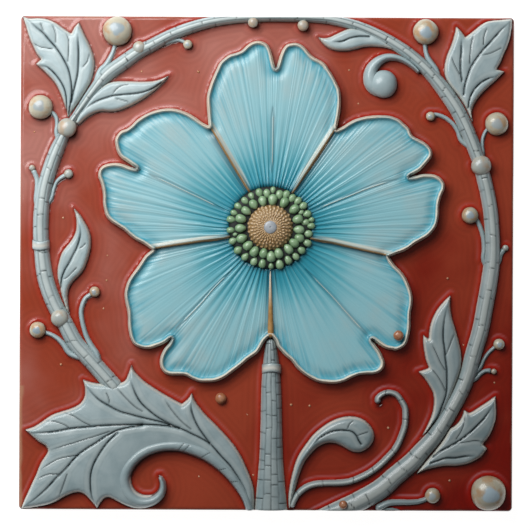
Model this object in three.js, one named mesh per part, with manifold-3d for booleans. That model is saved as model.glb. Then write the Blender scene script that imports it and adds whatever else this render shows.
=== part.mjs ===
// A square majolica wall tile, pressed and fired as one piece of clay.
// A five-petalled flower stands in relief inside a ring of vine, with leaves and berries
// in the corners, on a level glazed ground. The back has shallow key grooves for the bed.
// Millimetres. The tile lies flat: the origin is the centre of its back, +Z runs out of
// the glazed face and +Y towards the top of the design.

import * as THREE from 'three';
import { mergeVertices } from 'three/addons/utils/BufferGeometryUtils.js';
import Module from 'manifold-3d';

// Driving dimensions of the body
const TILE_SIDE = 152.4;
const BODY_THICKNESS = 9;
const PLAN_CORNER_RADIUS = 1.2;
const ARRIS_RADIUS = 1;
const ARRIS_STEPS = 3;
const CORNER_STEPS = 3;

// Key grooves in the back
const GROOVE_WIDTH = 8;
const GROOVE_DEPTH = 1.2;
const GROOVE_PITCH = 16;
const GROOVE_END_MARGIN = 9;

// The relief is drawn on a square of this side, and follows the tile's own side in plan
const DRAWN_SIDE = 152.4;
const PLAN_SCALE = TILE_SIDE / DRAWN_SIDE;

// Heights of the relief above the glazed ground
const VINE_RISE = 3.1;
const STEM_RISE = 3.3;
const STALK_RISE_TO_WIDTH = 0.85;
const LEAF_RISE = 2.4;
const LEAF_ROUND = 0.7;
const LEAF_CROWN_RISE = 0.5;
const LEAF_CROWN_INSET = 2.2;
const CURL_RISE = 3.7;
const TENDRIL_RISE = 2.2;
const LOWER_PETAL_RISE = 2.5;
const PETAL_LAP_RISE = 0.45;
const LIP_HEIGHT = 1.1;
const LIP_WIDTH = 1.7;
const LIP_ROUND = 0.45;
const PETAL_SWELL_RISE = 0.6;
const PETAL_SWELL_INSET = 5;
const RIB_LENGTH = 25;
const RIB_WIDTH = 3.2;
const RIB_RISE_TO_WIDTH = 0.17;
const VEIN_DEPTH = 1.2;
const VEIN_WIDTH = 2;
const TAPER_SHARE = 0.35;
const COLLAR_HEIGHT = 0.8;
const BERRY_BASE_RISE = 1.4;
const BERRY_RISE_TO_RADIUS = 0.75;
const BERRY_STEPS = 3;
const BERRY_SIDES = 10;

// The flower's centre: a dome in two rings of beads
const HUB_RADIUS = 12.6;
const HUB_RISE = 5;
const HUB_SHOULDER = 1.2;
const HUB_SKIRT_WIDTH = 5;
const HUB_SKIRT_RISE = 4.2;
const DOME_RADIUS = 6.9;
const DOME_RISE = 7.4;
const CAP_RADIUS = 2;
const CAP_HEIGHT = 0.6;
const INNER_BEAD_COUNT = 19;
const INNER_BEAD_CLEARANCE = 0.4;
const INNER_BEAD_LENGTH = 3;
const INNER_BEAD_WIDTH = 2.5;
const OUTER_BEAD_COUNT = 28;
const OUTER_BEAD_OVERHANG = 0.6;
const OUTER_BEAD_LENGTH = 2.6;
const OUTER_BEAD_WIDTH = 2.2;
const BEAD_HEIGHT = 2.6;

// How the relief is joined to the body
const RELIEF_ROOT = 2;
const EDGE_SETBACK = 0.35;
const OUTLINE_STEP = 4.6;
const SWEEP_STEP = 5.5;
const NARROWEST_SHARE = 0.22;
const SLIVER = 0.02;

const GROUND = BODY_THICKNESS;
const ROOT_LEVEL = GROUND - RELIEF_ROOT;
const FLOWER_CENTRE = [1.1, 11.1];

// In an outline, S after x and y marks a sharp corner; other points lie on a smooth curve
const S = true;

// A petal's ribs fan out from the flower's centre at these angles, in degrees
const PETALS = [
  {
    name: 'lower left',
    lap: 0,
    ribs: [210, 230, 250],
    outline: [
      [1.1, 11.1, S], [2, -2], [2, -22, S], [-2.4, -27.3], [-7.6, -31.4],
      [-13, -35.4], [-18.4, -36.6], [-22.7, -35.7], [-27, -34.5], [-31.1, -33.9],
      [-32.7, -31.1], [-31.9, -27.3], [-29.2, -23.2, S], [-33.5, -25.7], [-38.4, -26.2],
      [-41.8, -23.2], [-42.6, -16.8], [-43.7, -9.7], [-41.2, -3.2],
      [-34.8, 5.6, S], [-20, 8], [-12, 9],
    ],
  },
  {
    name: 'lower right',
    lap: 0.5,
    ribs: [290, 309, 328],
    outline: [
      [1.1, 11.1, S], [12.7, 9], [27.5, 6], [37.2, 3.8, S], [42.9, -4.1],
      [45, -10.3], [44.4, -16.8], [43.7, -23], [39.6, -26.6], [32.3, -23, S],
      [36.5, -30], [35.1, -33.1], [31.1, -33.9], [26.5, -35], [21.6, -36.8],
      [16.2, -36.4], [11.6, -34], [7.8, -30], [3.5, -25.7], [1.4, -22.3, S], [1.2, -2],
    ],
  },
  {
    name: 'upper left',
    lap: 1,
    ribs: [139, 156.5, 174],
    outline: [
      [1.1, 11.1, S], [-13, 7.4], [-28, 5.3], [-35.3, 4.1], [-42.1, 8.4], [-48, 12.7],
      [-50.4, 18.4], [-51.2, 24.6], [-51.8, 28.1], [-49.6, 30.3], [-45.6, 30.7],
      [-39.9, 29.2, S], [-43.1, 31.1], [-46.1, 34.1], [-46.8, 37.8], [-45, 40.6],
      [-40.1, 44], [-34.6, 46.9], [-29.2, 47.6], [-24.3, 46.2], [-16.6, 42.4, S], [-4.4, 22.7],
    ],
  },
  {
    name: 'upper right',
    lap: 1.5,
    ribs: [5, 21, 39],
    outline: [
      [1.1, 11.1, S], [7.1, 22.8], [20.1, 42, S], [27, 44.5], [32.4, 45.7],
      [37.8, 45.6], [42.3, 43.1], [44.5, 40], [48.8, 37.3], [50.8, 34.6], [49.9, 31.9],
      [43.5, 26.9, S], [47.5, 27.7], [51.5, 27.6], [54.7, 24.6], [53.3, 19.5],
      [52.7, 13.5], [49.4, 8.4], [43.9, 4.9], [37.8, 2.3, S], [20, 6.2], [13.7, 7.3],
    ],
  },
  {
    name: 'top',
    lap: 2,
    ribs: [69, 88.5, 108],
    outline: [
      [1.1, 11.1, S], [-5.8, 22], [-18, 42.3], [-18.6, 51], [-15.7, 59.6], [-11.6, 64.2],
      [-6.5, 66.9], [-3, 68.5], [0, 67.4], [2.6, 59.9, S], [3.8, 63.9], [5.8, 67.3],
      [8.9, 67.9], [11.9, 66.1], [14.6, 63.4], [18.9, 59.9], [22.3, 53.7], [22.3, 46.1],
      [21.5, 42.1], [8.6, 22],
    ],
  },
];

const LEAVES = [
  {
    name: 'top left corner',
    outline: [
      [-75.6, 75.9, S], [-67.7, 75], [-62.9, 72.3], [-60.5, 70.7, S], [-58.1, 74.3, S],
      [-56.1, 69.9], [-53.9, 65], [-53.3, 60.2], [-54.5, 55.6], [-58, 49.6],
      [-61.5, 44.5, S], [-62.9, 49.6], [-65.8, 55.6], [-71.5, 61.2, S], [-69.9, 62.6, S],
      [-72.1, 66.1], [-73.9, 70.4],
    ],
  },
  {
    name: 'top left inner',
    outline: [
      [-59.4, 43.1, S], [-56.4, 48.8], [-52.9, 52.9], [-48.8, 55.6], [-42.9, 56.1],
      [-35.1, 56.2], [-30, 58.1, S], [-34.9, 52.9], [-40, 49.4], [-45.6, 46.9],
      [-51, 46.6], [-55, 45], [-58, 42.3, S],
    ],
  },
  {
    name: 'left',
    outline: [
      [-59.8, 17.3, S], [-56.1, 12.7], [-54.1, 7.8], [-54.6, 2.4], [-56.1, -1.9],
      [-59.4, -5.7], [-61.1, -9.5], [-60.4, -16.2, S], [-62.3, -12.7], [-63.8, -7.3],
      [-64.5, -2.2], [-63.1, 3.2], [-60.2, 7], [-58.7, 11.6],
    ],
  },
  {
    name: 'top middle',
    outline: [
      [15.3, 70.2, S], [18.9, 69.9], [23, 71.8], [27.3, 72.7], [33.8, 70.3],
      [40, 65.3, S], [35.1, 66.8], [29.7, 66.8], [24.3, 65.6], [18.9, 66.4],
    ],
  },
  {
    name: 'top right corner',
    outline: [
      [75.4, 75.9, S], [67.7, 75], [63.7, 72.3], [61, 70.2, S], [58.1, 73.5, S],
      [56.6, 67.7], [54.5, 60.7], [55.3, 56.6], [59.1, 51.5], [62.3, 45.8],
      [64, 41, S], [63.3, 48], [67.2, 53.7], [73.3, 59.6, S], [70.8, 60.3, S],
      [72.9, 64.8], [74.8, 69.9],
    ],
  },
  {
    name: 'right',
    outline: [
      [56.8, -9.3, S], [57.3, -16.2], [59.4, -23.5], [60.2, -31.1], [57.7, -38.9],
      [54.5, -46], [45.8, -55.8, S], [49.9, -49.4], [51.8, -42.1], [50.2, -37.3],
      [46.8, -33.1, S], [50.2, -31.9, S], [48.8, -27.3], [48.4, -21.6, S],
      [50.1, -23, S], [51, -17.3], [54.2, -11.9],
    ],
  },
  {
    name: 'bottom right',
    outline: [
      [70.8, -40.4, S], [65.3, -44.2], [62.7, -45.7, S], [61.1, -44.6, S], [59.6, -48.3],
      [56.6, -50.7], [53.7, -55.3], [50.2, -59.6], [46.1, -65, S], [51.5, -62.9],
      [59.1, -62.1], [65.6, -59.9], [68.4, -56.6, S], [67.1, -55.3, S], [70.4, -49.6],
      [71.1, -44.8],
    ],
  },
  {
    name: 'comma leaf beside the stem',
    outline: [
      [7.3, -75.6, S], [7.2, -69.9], [9.2, -61.2], [12.2, -55.8], [16.8, -50.7],
      [22.4, -47.5], [28.4, -47.2], [32.4, -49.9], [33.5, -53.4], [31.4, -56.9],
      [27.6, -58.1], [23.8, -56.4], [19.5, -55.2], [15.7, -56.9], [11.9, -61.5],
      [9.2, -69.6],
    ],
  },
  {
    name: 'acanthus with its curl',
    outline: [
      [-56.6, -35.9, S], [-49.6, -37.2], [-43.7, -36.4], [-41.5, -31.1, S],
      [-39.6, -34.3], [-34.6, -38.3], [-29.2, -41.5], [-25.9, -43.3, S],
      [-22.7, -39.6, S], [-21.1, -43.4], [-15.1, -49.9], [-9.2, -56.6], [-5.4, -63.9],
      [-3.6, -69.4], [-3.4, -76, S], [-5.4, -75.9, S], [-10.8, -66.9], [-17.3, -61.8],
      [-24.9, -58.3], [-33.2, -58.1], [-39.6, -62.3], [-41.4, -66.4], [-39.9, -70.2],
      [-36.2, -71.5], [-33.2, -70.4], [-33, -65.1, S], [-30.7, -67.6], [-31.4, -72.1],
      [-35.1, -75], [-40.1, -75.7], [-46.9, -72.9, S], [-49.4, -72.5], [-51.9, -75.8, S],
      [-54.2, -73.1], [-57.5, -70.8], [-61.8, -72.1], [-66.4, -74.5], [-75.4, -75.7, S],
      [-73.1, -70.4], [-71, -65.8], [-67.2, -58], [-69.6, -55.6], [-74.4, -51.5, S],
      [-69.9, -49.6], [-65.3, -46.6], [-59.9, -44.8], [-56.1, -41.6],
    ],
  },
];

// Veins cut into the leaves: points x, y from the tip inwards
const VEINS = [
  [[-73.4, 74.4], [-67.2, 68.5], [-62.3, 61.8], [-60.3, 55], [-60.9, 47]],
  [[-58.4, 70], [-58.3, 60], [-59.9, 51.5]],
  [[-69.6, 60.6], [-64.2, 56.6], [-61.9, 49]],
  [[-57, 46.2], [-50.5, 50.6], [-40.2, 52.2], [-33.4, 55]],
  [[-57.5, 11.8], [-58.3, 4.6], [-62, -2.4], [-63.2, -7.4]],
  [[20, 68.4], [25.1, 69.3], [31.6, 69.8]],
  [[73.8, 74.2], [66.6, 66.4], [61.9, 58.5], [60.6, 52]],
  [[59.6, 69], [59.5, 60], [60.2, 54]],
  [[70.4, 57.9], [63.9, 54], [61.9, 48.2]],
  [[55.6, -13], [54.5, -22], [55.7, -35], [54.2, -43.7], [50.4, -51]],
  [[69.6, -43.4], [62.3, -52.1], [51.7, -59]],
  [[63.9, -58.8], [58, -59.6], [51, -61.2]],
  [[14.8, -55.1], [20.2, -51.4], [26, -51.2], [28.8, -54.4]],
  [[-73.8, -74.5], [-64.5, -66.4], [-56.5, -58.2], [-46, -51.6], [-39, -50]],
  [[-73, -52.3], [-60.4, -51], [-39, -49.7]],
  [[-54.6, -38.6], [-48.3, -43.9], [-38, -47.5], [-29.6, -49.8]],
  [[-41.4, -36.6], [-37.2, -44.2], [-26.8, -50.6]],
  [[-23.1, -43.2], [-20.5, -50.7], [-17.2, -55.4]],
  [[-52.6, -73.6], [-53.7, -65], [-45.8, -52.4]],
  [[-5.6, -71.6], [-13.5, -59.4], [-25.4, -51.2], [-37, -49.6]],
];

// Bars run along a centreline; each point is x, y and the bar's width there
const VINE = [
  [-46.5, -38.5, 5.4], [-58.7, -24.9, 5.2], [-65.7, -12, 5.1], [-69.4, 4, 4.8],
  [-69.5, 16, 4.9], [-66.6, 30, 4.6], [-61.6, 41.5, 2.8], [-56.6, 48.8, 3],
  [-49.5, 58, 4.4], [-39.5, 65.3, 4.2], [-24.3, 72.5, 3.6], [-12, 75.3, 3],
  [4, 76, 2.7], [18.5, 75.5, 3], [33, 71.2, 3.5], [44, 64.6, 3.9], [54.9, 53.2, 4.7],
  [61, 42.9, 4.6], [65.9, 30.5, 4.5], [68.9, 17, 4.6], [69.7, 6, 4.7],
  [68.7, -5.4, 5.2], [64.1, -27, 5.2], [57.3, -44.4, 5], [45.3, -60.8, 5.8],
  [35.5, -69.3, 6.3], [21, -77, 6.3],
];
const STEM = [
  [1.35, -22, 2.6], [1.5, -29, 4.6], [1.6, -38, 6.1], [1.7, -50, 6.7],
  [1.7, -68, 8.7], [1.7, -77, 10.2],
];
const SCROLL = [
  [45, 60.3, 1], [41.4, 62.5, 1.8], [36.5, 64.2, 2], [32.3, 62, 2.2], [31, 57.6, 3],
  [32.9, 54.2, 3.6], [36.6, 53.6, 4],
];
const TENDRIL = [
  [8.1, -74.8, 1.6], [14.9, -68, 2], [25.7, -67.1, 2], [35.4, -61.8, 2],
  [41, -55, 2], [43.1, -46.9, 2], [40.2, -40.2, 2], [35.7, -40.2, 2], [34.6, -42.6, 2.4],
];
const STALKS = [
  [[-51.5, 59.4, 1.8], [-49.2, 62.2, 1.6], [-47.7, 65, 1.4], [-46.6, 69, 1.3]],
  [[-65, 40.2, 1.5], [-64.8, 43.2, 1.4], [-67.5, 46.6, 1.4]],
  [[-71.1, 20, 1.6], [-70.9, 24.4, 1.6], [-72.3, 28.5, 1.8]],
  [[-66.4, 20.5, 1.4], [-64.8, 24.9, 1.4], [-61.8, 27, 1.8]],
  [[-31.5, 67.7, 1.4], [-28, 68.6, 1.3], [-25.2, 68, 1.2]],
  [[-60, -28, 2], [-64.2, -23.5, 1.7], [-69, -21.1, 1.3]],
  [[-52.1, -28.4, 1.8], [-56.2, -20.3, 1.6], [-56.6, -12.7, 1.6], [-53.6, -9.4, 1.4]],
  [[52, 59.6, 2], [49.6, 63.4, 1.8], [48.4, 68.6, 1.4]],
  [[66.6, 34.6, 1.3], [66.6, 39.2, 1.2], [68.6, 42.2, 1.2]],
  [[59.6, 39.1, 1.5], [57.5, 43.1, 1.4], [53.7, 45.8, 1.4], [50.9, 45.9, 1.4]],
  [[66.9, 2.2, 1.5], [66.9, 7.6, 1.5], [65, 13.4, 1.5], [63.6, 14.8, 1.4]],
  [[71.9, 2.2, 1.6], [72.7, 4, 1.6], [73.4, 4.8, 1.6]],
  [[65.6, -32, 1.4], [68.5, -27.3, 1.3], [71, -25.1, 1.2]],
  [[64.6, -35, 1.5], [67.5, -33, 1.4], [69.6, -32.8, 1.6]],
  [[34.6, -75.2, 2.4], [39, -73.6, 2], [45.6, -73.3, 1.7], [50.2, -72, 1.5]],
];
// The acanthus leaf's lower edge rolls over into a curl
const CURL = [
  [-4.8, -75.6, 2], [-9, -67.9, 2.8], [-15.3, -61, 4.4], [-21.5, -57.2, 5.2],
  [-29.2, -55.4, 4.6], [-35.5, -56.6, 4.2], [-41, -60.2, 4.4], [-43.9, -65.6, 4.6],
  [-42.6, -70.2, 4.2], [-38.2, -73, 3.4], [-33.8, -72.4, 2.8], [-31.6, -68.9, 2.2],
  [-32.6, -65.6, 1.4],
];
// The two lower petals meet in a ridge
const SEAM_RIDGE = [[1.2, 0, 1.7], [1.3, -12, 1.6], [1.4, -22.6, 1.4]];
// Collars lie across a bar: two end points and the collar's width along the bar
const COLLARS = [
  [[-1.1, -32, 3], [4.5, -32, 3]],
  [[-72.1, 5, 2.8], [-67.1, 5.2, 2.8]],
];
// Berries and knots: x, y, radius
const BERRIES = [
  [-61.6, 41.5, 2.95], [-39.5, 66.1, 2.3], [65.9, 30.5, 3.1], [-63.6, -17, 2.7],
  [-4.5, 74.2, 1.6], [10.9, 73.3, 1.7], [-46.3, 71.2, 4.4], [-69.8, 47.9, 3.75],
  [-70.4, -20.7, 2.5], [-52.9, -8.9, 1.6], [48.7, 71.3, 3.9], [70.7, 43.4, 3.55],
  [50.3, 45.6, 1.4], [62.6, 15.2, 2.55], [71.7, -24.5, 1.7], [51.5, -71.2, 2.35],
  [-24.6, 67.4, 1.4], [68.7, -70.2, 5.3], [35.6, 55.9, 4.2],
];

const wasm = await Module();
wasm.setup();

function solidFrom(geometry) {
  geometry.deleteAttribute('normal');
  geometry.deleteAttribute('uv');
  const welded = mergeVertices(geometry, 1e-4);
  const mesh = new wasm.Mesh({
    numProp: 3,
    vertProperties: new Float32Array(welded.attributes.position.array),
    triVerts: new Uint32Array(welded.index.array),
  });
  return new wasm.Manifold(mesh);
}

function geometryFrom(solid) {
  const mesh = solid.getMesh();
  const geometry = new THREE.BufferGeometry();
  geometry.setAttribute('position', new THREE.BufferAttribute(mesh.vertProperties, 3));
  geometry.setIndex(new THREE.BufferAttribute(mesh.triVerts, 1));
  geometry.computeVertexNormals();
  return geometry;
}

function joinAll(solids) {
  return solids.reduce((joined, solid) => joined.add(solid));
}

// Splits a closed outline at its sharp corners and runs a smooth curve along each stretch
function smoothOutline(outline) {
  const firstCorner = outline.findIndex((point) => point[2]);
  const turned = [...outline.slice(firstCorner), ...outline.slice(0, firstCorner)];
  turned.push(turned[0]);
  const points = [];
  let stretch = [turned[0]];
  for (const point of turned.slice(1)) {
    stretch.push(point);
    if (point[2]) {
      points.push(...sampleStretch(stretch, OUTLINE_STEP).slice(0, -1));
      stretch = [point];
    }
  }
  return THREE.ShapeUtils.isClockWise(points) ? points.reverse() : points;
}

function sampleStretch(stretch, step) {
  const nodes = stretch.map(([x, y]) => new THREE.Vector3(x, y, 0).multiplyScalar(PLAN_SCALE));
  const curve = new THREE.CatmullRomCurve3(nodes, false, 'centripetal');
  const count = Math.max(1, Math.round(curve.getLength() / (step * PLAN_SCALE)));
  return curve.getSpacedPoints(count).map((point) => new THREE.Vector2(point.x, point.y));
}

function roundedSquare(side, radius) {
  const reach = side / 2 - radius;
  const points = [];
  for (const quarter of [0, 1, 2, 3]) {
    const middle = (quarter + 0.5) * (Math.PI / 2);
    const centre = new THREE.Vector2(
      Math.sign(Math.cos(middle)) * reach,
      Math.sign(Math.sin(middle)) * reach,
    );
    for (let step = 0; step <= CORNER_STEPS; step += 1) {
      const angle = (quarter + step / CORNER_STEPS) * (Math.PI / 2);
      const spoke = new THREE.Vector2(Math.cos(angle), Math.sin(angle)).multiplyScalar(radius);
      points.push(spoke.add(centre));
    }
  }
  return new THREE.Shape(points);
}

// A plate with both its edges rounded, from floor to top
function roundedPlate(shape, floor, top, round, steps) {
  const geometry = new THREE.ExtrudeGeometry(shape, {
    depth: top - floor - 2 * round,
    bevelEnabled: true,
    bevelThickness: round,
    bevelSize: round,
    bevelOffset: -round,
    bevelSegments: steps,
  });
  geometry.translate(0, 0, floor + round);
  return solidFrom(geometry);
}

// A form that rises from the root on the outline; its edge follows a profile of steps,
// each an inset from the outline and a level, and the last one closes the top
function raisedForm(outline, profile) {
  const geometry = new THREE.ExtrudeGeometry(new THREE.Shape(outline), {
    depth: profile.length,
    steps: profile.length,
    bevelEnabled: false,
  });
  const widest = Math.max(...profile.map((step) => step.inset));
  const insets = new Map();
  outline.forEach((point, index) => {
    insets.set(placeKey(point.x, point.y), insetAt(outline, index, widest));
  });
  const layers = [{ inset: 0, level: ROOT_LEVEL }, ...profile];
  const position = geometry.attributes.position;
  for (let index = 0; index < position.count; index += 1) {
    const inset = insets.get(placeKey(position.getX(index), position.getY(index)));
    const layer = layers[Math.round(position.getZ(index))];
    const inward = layer.inset / widest;
    const x = position.getX(index) + inset.x * inward;
    const y = position.getY(index) + inset.y * inward;
    position.setXYZ(index, x, y, layer.level);
  }
  return solidFrom(geometry);
}

function placeKey(x, y) {
  return `${Math.fround(x)} ${Math.fround(y)}`;
}

// How far an outline's point moves in at the widest inset: less where the form is narrow
function insetAt(outline, index, widest) {
  const point = outline[index];
  const before = outline[(index + outline.length - 1) % outline.length];
  const after = outline[(index + 1) % outline.length];
  const arriving = point.clone().sub(before).normalize();
  const leaving = after.clone().sub(point).normalize();
  const inward = new THREE.Vector2(-arriving.y - leaving.y, arriving.x + leaving.x);
  inward.normalize();
  const squareness = Math.max(0.6, inward.x * -arriving.y + inward.y * arriving.x);
  const clearance = clearanceAlong(outline, index, inward);
  return inward.multiplyScalar(Math.min(widest / squareness, clearance * NARROWEST_SHARE));
}

// The distance from an outline's point straight across to the far side
function clearanceAlong(outline, index, direction) {
  const point = outline[index];
  let nearest = Infinity;
  outline.forEach((start, place) => {
    const end = outline[(place + 1) % outline.length];
    if (start === point || end === point) {
      return;
    }
    const edge = end.clone().sub(start);
    const offset = start.clone().sub(point);
    const turn = direction.cross(edge);
    const reach = offset.cross(edge) / turn;
    const share = offset.cross(direction) / turn;
    if (reach > 0 && share >= 0 && share <= 1) {
      nearest = Math.min(nearest, reach);
    }
  });
  return nearest;
}

// The upper half of a bar that follows a centreline and changes in width and height
function sweptBar(centreline, base, riseAt) {
  const heightAt = (width) => riseAt(width) + base - ROOT_LEVEL;
  return sweep(centreline, halfRoundSection(), ROOT_LEVEL, heightAt);
}

// Runs a section of unit width and height along a centreline, over a floor
function sweep(centreline, section, floor, heightAt) {
  const nodes = centreline.map(([x, y]) => new THREE.Vector3(x, y, 0).multiplyScalar(PLAN_SCALE));
  const curve = new THREE.CatmullRomCurve3(nodes, false, 'centripetal');
  const widths = centreline.map(([, , width]) => new THREE.Vector3(width * PLAN_SCALE, 0, 0));
  const steps = Math.max(2, Math.round(curve.getLength() / (SWEEP_STEP * PLAN_SCALE)));
  const geometry = new THREE.ExtrudeGeometry(section, {
    depth: 1,
    steps,
    bevelEnabled: false,
  });
  const position = geometry.attributes.position;
  const point = new THREE.Vector3();
  for (let index = 0; index < position.count; index += 1) {
    const along = Math.min(1, Math.max(0, position.getZ(index)));
    const place = curve.getPoint(along);
    const tangent = curve.getTangent(along);
    const width = widthAt(widths, along);
    const side = position.getX(index) * width;
    const level = floor + position.getY(index) * heightAt(width);
    point.set(place.x - tangent.y * side, place.y + tangent.x * side, level);
    position.setXYZ(index, point.x, point.y, point.z);
  }
  return solidFrom(geometry);
}

function widthAt(widths, along) {
  const place = along * (widths.length - 1);
  const before = Math.min(Math.floor(place), widths.length - 2);
  return THREE.MathUtils.lerp(widths[before].x, widths[before + 1].x, place - before);
}

// The section of every bar: straight sides from the root, then a low arch
function halfRoundSection() {
  const springing = 0.62;
  const archPoints = 3;
  const shape = new THREE.Shape();
  shape.moveTo(-0.5, 0);
  shape.lineTo(0.5, 0);
  for (let index = 0; index <= archPoints; index += 1) {
    const angle = (index / archPoints) * Math.PI;
    const height = springing + (1 - springing) * Math.sin(angle);
    shape.lineTo(0.5 * Math.cos(angle), height);
  }
  return shape;
}

// A V, as wide as the vein halfway up
function veinSection() {
  const shape = new THREE.Shape();
  shape.moveTo(0, 0);
  shape.lineTo(1, 1);
  shape.lineTo(-1, 1);
  return shape;
}

function makeBody() {
  const plan = roundedSquare(TILE_SIDE, PLAN_CORNER_RADIUS);
  const arris = Math.min(ARRIS_RADIUS, PLAN_CORNER_RADIUS * 0.95);
  const deepPlate = roundedPlate(plan, -2 * arris, GROUND, arris, ARRIS_STEPS);
  const underside = new THREE.BoxGeometry(TILE_SIDE * 2, TILE_SIDE * 2, BODY_THICKNESS);
  underside.translate(0, 0, -BODY_THICKNESS / 2);
  let body = deepPlate.subtract(solidFrom(underside));
  for (const groove of makeGrooves()) {
    body = body.subtract(groove);
  }
  return body;
}

// Grooves lie either side of a rib on the centre line, and stop short of the tile's sides
function makeGrooves() {
  const length = TILE_SIDE - 2 * GROOVE_END_MARGIN;
  const reach = TILE_SIDE / 2 - GROOVE_END_MARGIN - GROOVE_WIDTH / 2;
  const grooves = [];
  for (let offset = GROOVE_PITCH / 2; offset <= reach; offset += GROOVE_PITCH) {
    for (const side of [-1, 1]) {
      const groove = new THREE.BoxGeometry(length, GROOVE_WIDTH, GROOVE_DEPTH * 2);
      groove.translate(0, side * offset, 0);
      grooves.push(solidFrom(groove));
    }
  }
  return grooves;
}

// A petal is a shallow dish: its edge stands up all round as a rolled lip
function makePetal(petal) {
  const floor = GROUND + LOWER_PETAL_RISE + petal.lap * PETAL_LAP_RISE;
  const lipTop = floor + LIP_HEIGHT;
  return raisedForm(smoothOutline(petal.outline), [
    { inset: 0, level: lipTop - LIP_ROUND },
    { inset: LIP_ROUND, level: lipTop },
    { inset: LIP_WIDTH - LIP_ROUND, level: lipTop },
    { inset: LIP_WIDTH, level: floor },
    { inset: PETAL_SWELL_INSET, level: floor + PETAL_SWELL_RISE },
  ]);
}

// Low ribs that run out from under the beads and end in the petal's field
function makeRibs(petal) {
  const base = GROUND + LOWER_PETAL_RISE + petal.lap * PETAL_LAP_RISE + PETAL_SWELL_RISE;
  const start = (HUB_RADIUS - HUB_SHOULDER) / PLAN_SCALE;
  return petal.ribs.map((degrees) => {
    const angle = THREE.MathUtils.degToRad(degrees);
    const centreline = [0, RIB_LENGTH / 2, RIB_LENGTH].map((way) => [
      FLOWER_CENTRE[0] + (start + way) * Math.cos(angle),
      FLOWER_CENTRE[1] + (start + way) * Math.sin(angle),
    ]);
    return sweptBar(tapered(centreline, RIB_WIDTH), base, (width) => width * RIB_RISE_TO_WIDTH);
  });
}

// Adds a width to each point of a line: full between its ends, and narrow at them
function tapered(line, width) {
  return line.map(([x, y], index) => {
    const isEnd = index === 0 || index === line.length - 1;
    return [x, y, isEnd ? width * TAPER_SHARE : width];
  });
}

function makeLeaf(leaf) {
  return raisedForm(smoothOutline(leaf.outline), [
    { inset: 0, level: GROUND + LEAF_RISE - LEAF_ROUND },
    { inset: LEAF_ROUND, level: GROUND + LEAF_RISE },
    { inset: LEAF_CROWN_INSET, level: GROUND + LEAF_RISE + LEAF_CROWN_RISE },
  ]);
}

// The leaves with their veins cut in as V grooves
function makeLeaves() {
  const floor = GROUND + LEAF_RISE + LEAF_CROWN_RISE - VEIN_DEPTH;
  return VEINS.reduce((leaves, vein) => {
    const cutter = sweep(tapered(vein, VEIN_WIDTH), veinSection(), floor, () => 2 * VEIN_DEPTH);
    return leaves.subtract(cutter);
  }, joinAll(LEAVES.map(makeLeaf)));
}

// A berry is a ball's upper half on straight sides, so that it leaves the mould
function makeBerry([x, y, radius]) {
  const size = radius * PLAN_SCALE;
  const springing = GROUND + BERRY_BASE_RISE + size * (BERRY_RISE_TO_RADIUS - 1);
  const profile = [new THREE.Vector2(0, ROOT_LEVEL)];
  for (let step = 0; step <= BERRY_STEPS; step += 1) {
    const angle = (step / BERRY_STEPS) * (Math.PI / 2);
    const reach = step < BERRY_STEPS ? size * Math.cos(angle) : 0;
    profile.push(new THREE.Vector2(reach, springing + size * Math.sin(angle)));
  }
  profile.splice(1, 0, new THREE.Vector2(size, ROOT_LEVEL));
  const berry = new THREE.LatheGeometry(profile, BERRY_SIDES);
  berry.rotateX(Math.PI / 2);
  berry.translate(x * PLAN_SCALE, y * PLAN_SCALE, 0);
  return solidFrom(berry);
}

// The hub under the beads, and the dome with its cap, turned about the flower's centre
function makeFlowerCentre() {
  const dome = [];
  const rings = 4;
  for (let ring = 0; ring <= rings; ring += 1) {
    const angle = (ring / rings) * (Math.PI / 2);
    const radius = CAP_RADIUS + (DOME_RADIUS - CAP_RADIUS) * Math.cos(angle);
    const height = HUB_RISE + (DOME_RISE - HUB_RISE) * Math.sin(angle);
    dome.push(new THREE.Vector2(radius, GROUND + height));
  }
  const capBase = dome[dome.length - 1].y;
  const profile = [
    new THREE.Vector2(0, ROOT_LEVEL),
    new THREE.Vector2(HUB_RADIUS + HUB_SKIRT_WIDTH, ROOT_LEVEL),
    new THREE.Vector2(HUB_RADIUS + HUB_SKIRT_WIDTH, GROUND + LOWER_PETAL_RISE),
    new THREE.Vector2(HUB_RADIUS, GROUND + HUB_SKIRT_RISE),
    new THREE.Vector2(HUB_RADIUS - HUB_SHOULDER, GROUND + HUB_RISE),
    ...dome,
    new THREE.Vector2(CAP_RADIUS * 0.75, capBase + CAP_HEIGHT * 0.8),
    new THREE.Vector2(0, capBase + CAP_HEIGHT),
  ];
  const turned = new THREE.LatheGeometry(profile, 20);
  turned.rotateX(Math.PI / 2);
  turned.translate(FLOWER_CENTRE[0] * PLAN_SCALE, FLOWER_CENTRE[1] * PLAN_SCALE, 0);
  return solidFrom(turned);
}

function makeBeadRing(count, ringRadius, length, width) {
  const beads = [];
  for (let index = 0; index < count; index += 1) {
    const angle = (index / count) * Math.PI * 2;
    const bead = new THREE.OctahedronGeometry(0.5, 1);
    bead.scale(length, width, BEAD_HEIGHT);
    bead.translate(ringRadius, 0, GROUND + HUB_RISE);
    bead.rotateZ(angle);
    bead.translate(FLOWER_CENTRE[0] * PLAN_SCALE, FLOWER_CENTRE[1] * PLAN_SCALE, 0);
    beads.push(solidFrom(bead));
  }
  return joinAll(beads);
}

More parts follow.
